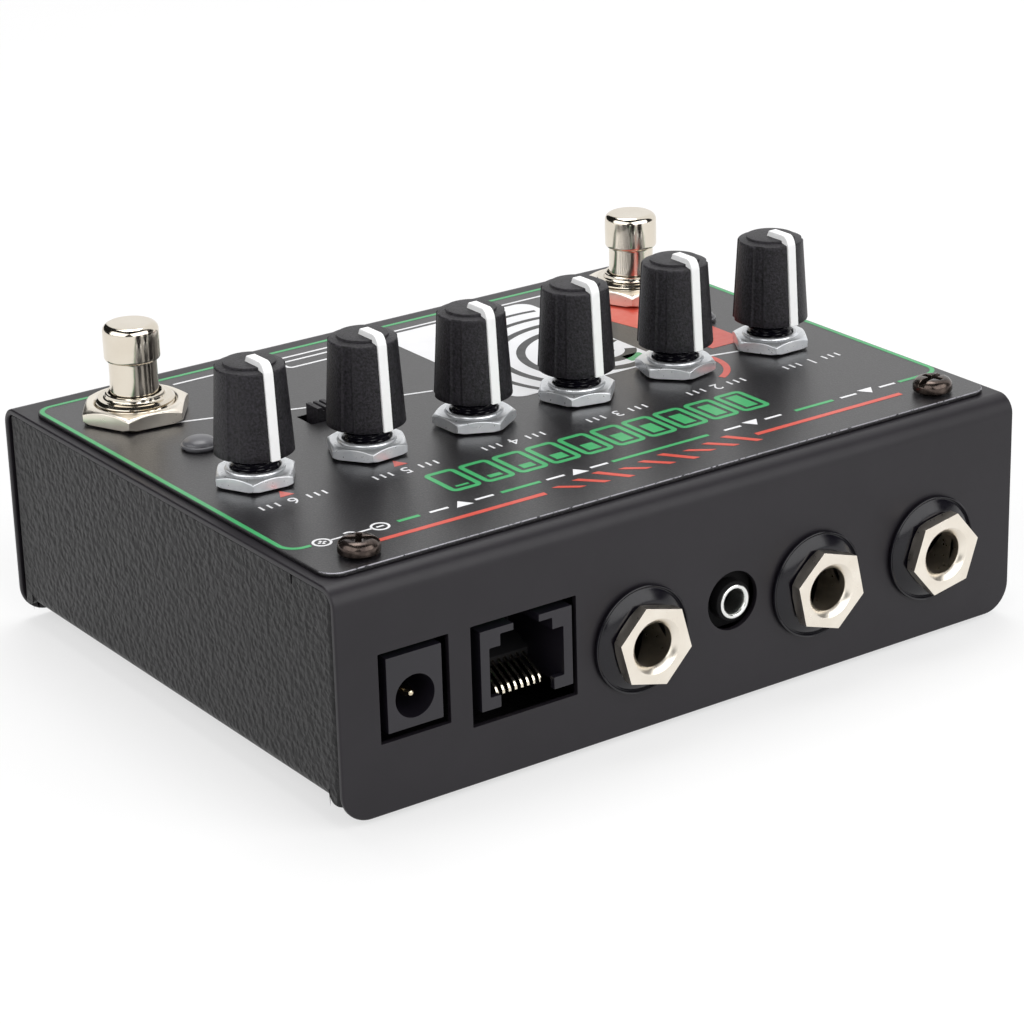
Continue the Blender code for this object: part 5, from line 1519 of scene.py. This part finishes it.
@dataclass
class FootControls:
    """Both foot switches, the lights behind them and the slide switch."""

    shop: Workshop
    bushing_radius: float = 6.0
    bushing_bore: float = 4.0
    bushing_rim: tuple[Point, ...] = ((4.0, 40.3), (4.1, 40.4), (4.3, 40.4), (4.48, 40.28), (4.52, 39.95))
    switch_half: float = 7.5
    nut_across: float = 15.0
    nut_turn: float = 54
    nut_bore: tuple[Point, ...] = ((6.05, 0), (6.05, 1.9), (6.25, 2.12), (6.62, 2.3), (6.8, 2.3))
    nut_corner: float = 8.75
    neck_radius: float = 3.7
    neck_showing: float = 5.1
    neck_foot: float = -11.7
    cap_radius: float = 4.25
    cap_height: float = 5.6
    drops: tuple[float, ...] = (0, 0.7)
    lens_radius: float = 2.8
    lens_stem: float = 2.2
    lever_length: float = 3.2
    lever_width: float = 3.4
    lever_foot: float = 30.9
    lever_top: float = 38.35
    lever_x: float = 26.3976

    def build(self) -> None:
        """Makes the switches, lights and the lever."""
        self.bodies()
        self.nuts()
        for i, (x, drop) in enumerate(zip(PLACE.switch_xs, self.drops), 1):
            button = moved(self.button(), (x, PLACE.switch_y, LEVEL.switch_mouth - drop))
            nodes, body = [f"footswitch_plunger_{i}"], f"foot_button_{i}"
            add_piece(f"foot_button_cap_{i}", button, MIRROR_NICKEL, nodes, body)
        self.lights()
        self.lever()
        dress_node("slide_switch_body", HOUSING_PBT)

    def bodies(self) -> None:
        """Housings with threaded bushings that end in a stepped collar."""
        outer, bore, foot = self.bushing_radius, self.bushing_bore, LEVEL.parts_foot
        profile = [(bore, foot), *self.bushing_rim, *quarter((4.56, 39.85), (5.1, 39.6), 4), (5.6, 39.6)]
        profile += [(outer, 39.25), *((outer, z) for z in steps(39.2, 36.4, 24)), (outer, foot), (bore, foot)]
        bushing = self.shop.turned(profile, MIRROR_NICKEL, 72, **thread(0.75, 0.5, outer, 36.5, 39.22))
        half = self.switch_half
        housing = eased(block((-half, -half, LEVEL.parts_floor), (half, half, LEVEL.parts_top)), 0.5)
        switch, places = gathered([housing, bushing]), row(PLACE.switch_xs, PLACE.switch_y)
        self.shop.add_set("switch_bodies", switch, places, MIRROR_NICKEL, Slot.WARM, "footswitch_body")

    def nuts(self) -> None:
        """The large nuts with a bevelled bore and chamfered corners."""
        face, corner = self.nut_across / 2 * 0.965, self.nut_corner
        bore, top = self.nut_bore[0][0], self.nut_bore[-1][1]
        profile = [*self.nut_bore, (face, top), (corner, top - 0.6 * (corner - face))]
        profile += [(corner, 0.4), (8.1, 0), (bore, 0)]
        nut = trimmed_to_hexagon(self.shop.turned(profile, SATIN_NICKEL, 144), self.nut_across, 0.09)
        places, turns = row(PLACE.switch_xs, PLACE.switch_y, LEVEL.nut_seat), [(0, 0, self.nut_turn)] * 2
        self.shop.add_set("switch_nuts", nut, places, SATIN_NICKEL, Slot.WARM, "footswitch_nut", turns)

    def button(self) -> Mesh:
        """A polished button with a rounded cap on a narrower neck."""
        under, top = self.neck_showing, self.neck_showing + self.cap_height
        radius, neck = self.cap_radius, self.neck_radius
        profile = [(0, top), (radius - 1.3, top)]
        profile += quarter((radius, top - 1.15), (radius - 1.15, top), 10)[::-1]
        profile += [(radius + 0.02, top - 2.6), (radius, under + 0.55)]
        profile += quarter((radius, under + 0.5), (radius - 0.45, under), 4)[1:]
        profile += [(neck, under - 0.04), (neck - 0.05, under - 0.3), (neck - 0.06, 2.4), (neck, 0.6)]
        profile += [(neck, self.neck_foot), (0, self.neck_foot)]
        return self.shop.turned(profile, MIRROR_NICKEL, 96)

    def lights(self) -> None:
        """Low frosted lenses with a flat rim."""
        seat, radius, stem, foot = LEVEL.nut_seat, self.lens_radius, self.lens_stem, LEVEL.parts_floor
        profile = quarter((radius - 0.25, seat + 0.4), (0, seat + 1.4), 9)[::-1]
        profile += [(radius - 0.1, seat + 0.36), (radius, seat + 0.26), (radius, seat)]
        profile += [(stem, seat), (stem, foot), (0, foot)]
        lens, places = self.shop.turned(profile, FROSTED_LENS, 64), row(PLACE.light_xs, PLACE.small_y)
        self.shop.add_set("light_lenses", lens, places, FROSTED_LENS, Slot.LENS, "status_light")

    def lever(self) -> None:
        """The slide switch's lever with its grip ridges."""
        long, wide, foot, top = self.lever_length / 2, self.lever_width / 2, self.lever_foot, self.lever_top
        ridge = ((-0.24, 0.1), (-0.12, -0.55), (0.12, -0.55), (0.24, 0.1))
        grooves = []
        for middle in (self.lever_length / 3 * i - long for i in (1, 2)):
            outline = [(middle + x, top + z) for x, z in ridge]
            grooves.append(prism(outline, -wide - RUN_OUT, wide + RUN_OUT, Axis.Y))
        lever = eased(cut(block((-long, -wide, foot), (long, wide, top)), *grooves), 0.09)
        lever = moved(lever, (self.lever_x, PLACE.small_y, 0))
        add_piece("slide_grip", lever, KNOB_ABS, ["slide_switch_lever"], Body.LEVER.value)


@dataclass
class Sockets:
    """Everything in the socket wall. Profiles are (radius, distance out from the wall)."""

    shop: Workshop
    collar: tuple[Point, ...] = (
        (4.6, 0.3), (4.6, 1.5), (5.5, 1.5), (5.75, 1.47), (6.2, 1.31), (6.7, 1.08), (7.2, 0.81), (7.5, 0.62),
        (7.62, 0.52), (7.74, 0.5), (7.8, 0.6), (7.88, 0.74), (8.02, 0.78), (8.13, 0.7), (8.15, 0.55),
        (8.15, 0.3), (4.6, 0.3),
    )
    ferrule_across: float = 11.2
    ferrule_face: float = 3.9
    ferrule_bore: float = 3.25
    ferrule_stem: float = 4.3
    ferrule_foot: float = -8
    ferrule_turns: tuple[float, ...] = (45.4, 42.5, 10.3)
    nose: tuple[Point, ...] = (
        (2.45, -2.2), (2.45, 0.1), (2.55, 0.2), (2.9, 0.2), (3.02, 0.08), (3.02, -2.2), (2.45, -2.2),
    )
    sleeve: tuple[Point, ...] = (
        (1.78, -9), (1.78, -0.75), *quarter((1.8, -0.6), (2.2, 0.58), 7), (2.3, 0.6), (2.44, 0.58),
        (2.55, 0.5), (2.6, 0.36), (2.6, 0.2), (2.4, 0.2), (2.4, -9), (1.78, -9),
    )
    pin_radius: float = 1.0
    pin_tip: float = -0.8
    pin_foot: float = -10.8
    spring: tuple[Point, ...] = (
        (2.9, -10.2), (2.9, -3.0), (2.1, -2.3), (1.75, -3.4), (2.2, -5.2), (2.7, -10.2),
    )
    spring_half: float = 0.9
    spring_turn: float = -28
    modular_half: float = 7.785
    modular_top: float = 12.03
    opening_half: float = 6.25
    step_half: float = 4.375
    latch_half: float = 2.125
    under_half: float = 4.5
    comb: tuple[Point, ...] = ((-6.4, 3.1), (-6.4, 4.35), (-10.2, 6.4), (-13.0, 6.4), (-13.0, 3.1))
    comb_half: float = 4.6
    contact_path: tuple[Point, ...] = (
        (-12.9, 5.4), (-9.6, 5.3), (-8.4, 4.95), (-6.6, 3.95), (-4.6, 2.85), (-3.4, 2.2), (-2.85, 1.86),
        (-2.5, 1.55), (-2.3, 1.15), (-2.25, 0.8), (-2.45, 0.45),
    )
    contacts: int = 8
    contact_pitch: float = 1.05
    contact_width: float = 0.45
    contact_sheet: float = 0.3

    def build(self) -> None:
        """Makes the jacks and the mini, power and modular sockets."""
        self.jacks()
        self.mini()
        self.power()
        self.modular()
        for i in range(1, 4):
            dress_node(f"jack_body_{i}", HOUSING_PBT)

    def jacks(self) -> None:
        """Dished collars and hexagonal ferrules of the quarter-inch sockets."""
        places = row(PLACE.jack_xs, LEVEL.half_depth, LEVEL.jack_axis)
        collar, turns = self.shop.turned(self.collar, COLLAR_PA, 96), [(-90, 0, 0)] * 3
        self.shop.add_set("jack_collars", collar, places, COLLAR_PA, Slot.COLLAR, "jack_collar", turns)
        face, bore, stem, foot = self.ferrule_face, self.ferrule_bore, self.ferrule_stem, self.ferrule_foot
        profile = [(bore, foot), (bore, face - 1.0), (3.32, face - 0.86), (4.14, face - 0.04), (4.26, face)]
        profile += [(6.6, face), (6.6, face - 1.55), (5.7, face - 2.1), (stem, face - 2.1), (stem, foot)]
        profile.append((bore, foot))
        ferrule = trimmed_to_hexagon(self.shop.turned(profile, SATIN_NICKEL, 120), self.ferrule_across, 0.07)
        turns = [(-90, turn, 0) for turn in self.ferrule_turns]
        self.shop.add_set("jack_ferrules", ferrule, places, SATIN_NICKEL, Slot.WARM, "jack_ferrule", turns)

    def mini(self) -> None:
        """The 3.5 mm socket: housing with its round nose, and the metal sleeve in it."""
        place = (PLACE.mini_x, LEVEL.half_depth, PLACE.mini_z)
        housing = cut(block((-4.5, -7.3, -15.8), (4.5, 4.5, -1.8)), prism(circle(2.7), -9.3, 0))
        nose = self.shop.turned(self.nose, MATT_PBT, 72)
        body = moved(gathered([eased(housing, 0.15), nose]), place, ALONG_Y)
        add_piece("mini_housing", body, MATT_PBT, ["mini_jack_body"])
        sleeve = moved(self.shop.turned(self.sleeve, BRIGHT_CHROME, 72), place, ALONG_Y)
        add_piece("mini_sleeve", sleeve, BRIGHT_CHROME, ["mini_jack_sleeve"])

    def power(self) -> None:
        """The power socket: housing, centre pin and side spring."""
        place = (PLACE.power_x, LEVEL.half_depth, PLACE.power_z)
        housing = cut(block((-4.5, -6.6, -14.4), (4.5, 4.5, 0)), prism(circle(3.15), -10.5, RUN_OUT))
        housing = moved(eased(housing, 0.12), place, ALONG_Y)
        add_piece("power_housing", housing, HOUSING_PBT, ["power_socket"])
        tip, radius, foot = self.pin_tip, self.pin_radius, self.pin_foot
        profile = [*quarter((0.5, tip - 0.4), (0, tip), 6)[::-1], (0.62, tip - 0.7), (0.95, tip - 1.9)]
        profile += [(radius, tip - 2.2), (radius, foot), (0, foot)]
        pin = moved(self.shop.turned(profile, TINNED_BRASS, 48), place, ALONG_Y)
        add_piece("power_pin", pin, TINNED_BRASS)
        spring = eased(prism(self.spring, -self.spring_half, self.spring_half, Axis.Y), 0.06)
        spring = moved(spring, (0, 0, 0), Matrix.Rotation(math.radians(self.spring_turn), 4, "Z"))
        add_piece("power_spring", moved(spring, place, ALONG_Y), TINNED_BRASS)

    def modular(self) -> None:
        """The modular socket: stepped opening, latch slots, comb and sprung contacts."""
        place = (PLACE.modular_x, LEVEL.half_depth, PLACE.modular_under)
        wide, narrow, floor, ceiling, step = self.opening_half, self.step_half, 1.85, 9.2, 10.95
        opening = [(-wide, floor), (wide, floor), (wide, ceiling), (narrow, ceiling), (narrow, step)]
        opening += [(-narrow, step), (-narrow, ceiling), (-wide, ceiling)]
        side, top, latch, under = self.modular_half, self.modular_top, self.latch_half, self.under_half
        housing = cut(
            block((-side, -16.5, 0), (side, 0, top)),
            prism(opening, -13.5, RUN_OUT, Axis.Y),
            block((-latch, -6, 5.5), (latch, RUN_OUT, top + RUN_OUT)),
            block((-under, -12, -RUN_OUT), (under, RUN_OUT, 3.0)),
            block((-wide, -12, -RUN_OUT), (wide, -1.0, 3.0)),
        )
        housing = moved(eased(housing, 0.12), place)
        add_piece("modular_housing", housing, HOUSING_PBT, ["modular_socket_body"])
        comb = eased(prism(self.comb, -self.comb_half, self.comb_half, Axis.X), 0.1)
        add_piece("modular_comb", moved(comb, place), MATT_PBT)
        half, middle = self.contact_width / 2, (self.contacts - 1) / 2
        wire = eased(prism(strip(self.contact_path, self.contact_sheet), -half, half, Axis.X), 0.06, 2, 50)
        xs = [(i - middle) * self.contact_pitch for i in range(self.contacts)]
        wires = self.shop.repeated(wire, row(xs, 0), GOLD_WIRE)
        bar = eased(block((-4.02, -13.2, 2.15), (4.02, -12.0, 5.95)), 0.1)
        contacts = moved(gathered([wires, bar]), place)
        add_piece("modular_contacts", contacts, GOLD_WIRE, ["modular_socket_contacts"])


@dataclass
class Studio:
    """Pale floor, soft lamps, white surroundings and the photograph's camera, in metres."""

    camera_place: tuple[float, float, float] = (0.265403, 0.383461, 0.201384)
    right: tuple[float, float, float] = (-0.8165692196731035, 0.5766535175087276, -0.026180722435990216)
    down: tuple[float, float, float] = (0.23103365455590136, 0.2849184566044833, -0.9302929235185355)
    forward: tuple[float, float, float] = (-0.5289973156311886, -0.7656971946082411, -0.3658820113425448)
    lens: float = 114.588
    sensor: float = 36
    floor_size: float = 12.0
    sky: float = 0.8
    floor_glow: float = 0.62
    flag_radius: float = 1.7
    flag_azimuth: tuple[float, float] = (-104, 170)
    flag_height: tuple[float, float] = (6, 88)
    flag_cells: tuple[int, int] = (32, 10)
    lamps: tuple[tuple[str, tuple[float, float, float], Point, float], ...] = (
        ("lamp_left", (0.879, 0.051, 0.572), (1.4, 0.9), 7.5),
        ("lamp_right", (-0.183, 0.861, 0.572), (1.4, 0.9), 10.5),
        ("lamp_top", (-0.1, -0.3, 1.0), (0.6, 0.6), 5.0),
    )

    def build(self) -> None:
        """Makes the floor, world, lamps, black flag and camera."""
        self.floor()
        self.world()
        for name, place, size, power in self.lamps:
            self.lamp(name, place, size, power)
        self.flag()
        self.camera()

    def flag(self) -> None:
        """Black cloth behind the lamps on the camera's side, which metal and gloss show as dark bands."""
        across = [math.radians(a) for a in steps(*self.flag_azimuth, self.flag_cells[0])]
        up = [math.radians(e) for e in steps(*self.flag_height, self.flag_cells[1])]
        ways = [(math.cos(a) * math.cos(e), math.sin(a) * math.cos(e), math.sin(e))
                for e in up for a in across]
        corners = [Vector(way) * self.flag_radius for way in ways]
        wide = len(across)
        starts = [j * wide + i for j in range(len(up) - 1) for i in range(wide - 1)]
        mesh = bpy.data.meshes.new("flag")
        mesh.from_pydata(corners, [], [(i, i + wide, i + wide + 1, i + 1) for i in starts])
        cloth = {"Base Color": linear("#1a1a1a"), "Roughness": 0.95}
        mesh.materials.append(plain_material("velvet_black_cotton", cloth))
        flag = linked("flag", mesh)
        flag.visible_camera = False

    def floor(self) -> None:
        """A matt floor that shows white to the camera and keeps the pedal's shadow."""
        half = self.floor_size / 2
        mesh = bpy.data.meshes.new("floor")
        corners = [(-half, -half, 0), (half, -half, 0), (half, half, 0), (-half, half, 0)]
        mesh.from_pydata(corners, [], [(0, 1, 2, 3)])
        inputs = {"Base Color": linear("#9c9c9c"), "Roughness": 0.9, "Emission Color": WHITE}
        paper = plain_material("paper_white_matt", inputs)
        tree = paper.node_tree
        glow = sum_up(tree, "MULTIPLY", self.seen(tree), self.floor_glow)
        feed(tree.nodes["Principled BSDF"], {"Emission Strength": glow})
        mesh.materials.append(paper)
        floor = linked("floor", mesh)

    def seen(self, tree: NodeTree) -> NodeSocket:
        """1 for rays from the camera, and from metal and glass, and 0 for light on the pedal."""
        path = add(tree, "ShaderNodeLightPath").outputs
        mirrored_rays = sum_up(tree, "MAXIMUM", path["Is Glossy Ray"], path["Is Transmission Ray"])
        return sum_up(tree, "MAXIMUM", path["Is Camera Ray"], mirrored_rays)

    def world(self) -> None:
        """White to the camera and in reflections, and a softer white as light."""
        world = bpy.data.worlds.new("studio")
        world.use_nodes = True
        tree = world.node_tree
        strength = ranged(tree, self.seen(tree), (0, 1), (self.sky, 1.0))
        feed(tree.nodes["Background"], {"Strength": strength, "Color": WHITE})
        bpy.context.scene.world = world

    def lamp(self, name: str, place: tuple[float, float, float], size: Point, power: float) -> None:
        """A soft box that faces the pedal.

        Args:
            name: its name.
            place: where it stands, in metres.
            size: its width and height.
            power: its power in watts.
        """
        data = bpy.data.lights.new(name, "AREA")
        data.shape, data.energy = "RECTANGLE", power
        data.size, data.size_y = size
        thing = linked(name, data)
        thing.location = place
        thing.rotation_euler = (-Vector(place)).to_track_quat("-Z", "Y").to_euler()

    def camera(self) -> None:
        """The camera, at the place and lens found from the photograph's straight edges."""
        data = bpy.data.cameras.new("camera")
        data.lens, data.sensor_width = self.lens, self.sensor
        thing = linked("camera", data)
        columns = (self.right, tuple(-v for v in self.down), tuple(-v for v in self.forward))
        turn = Matrix(columns).transposed().to_4x4()
        thing.matrix_world = Matrix.Translation(self.camera_place) @ turn
        bpy.context.scene.camera = thing


def main() -> None:
    """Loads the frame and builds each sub-assembly in order."""
    logging.basicConfig(level=logging.INFO, format="%(name)s: %(message)s")
    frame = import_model()
    bpy.context.scene.view_settings.view_transform = "Standard"
    shop = Workshop()
    Enclosure(shop).build()
    Faceplate(shop).build()
    Dials(shop).build()
    FootControls(shop).build()
    Sockets(shop).build()
    dress_node("main_board", BOARD_MASK)
    Studio().build()


if __name__ == "__main__":
    main()
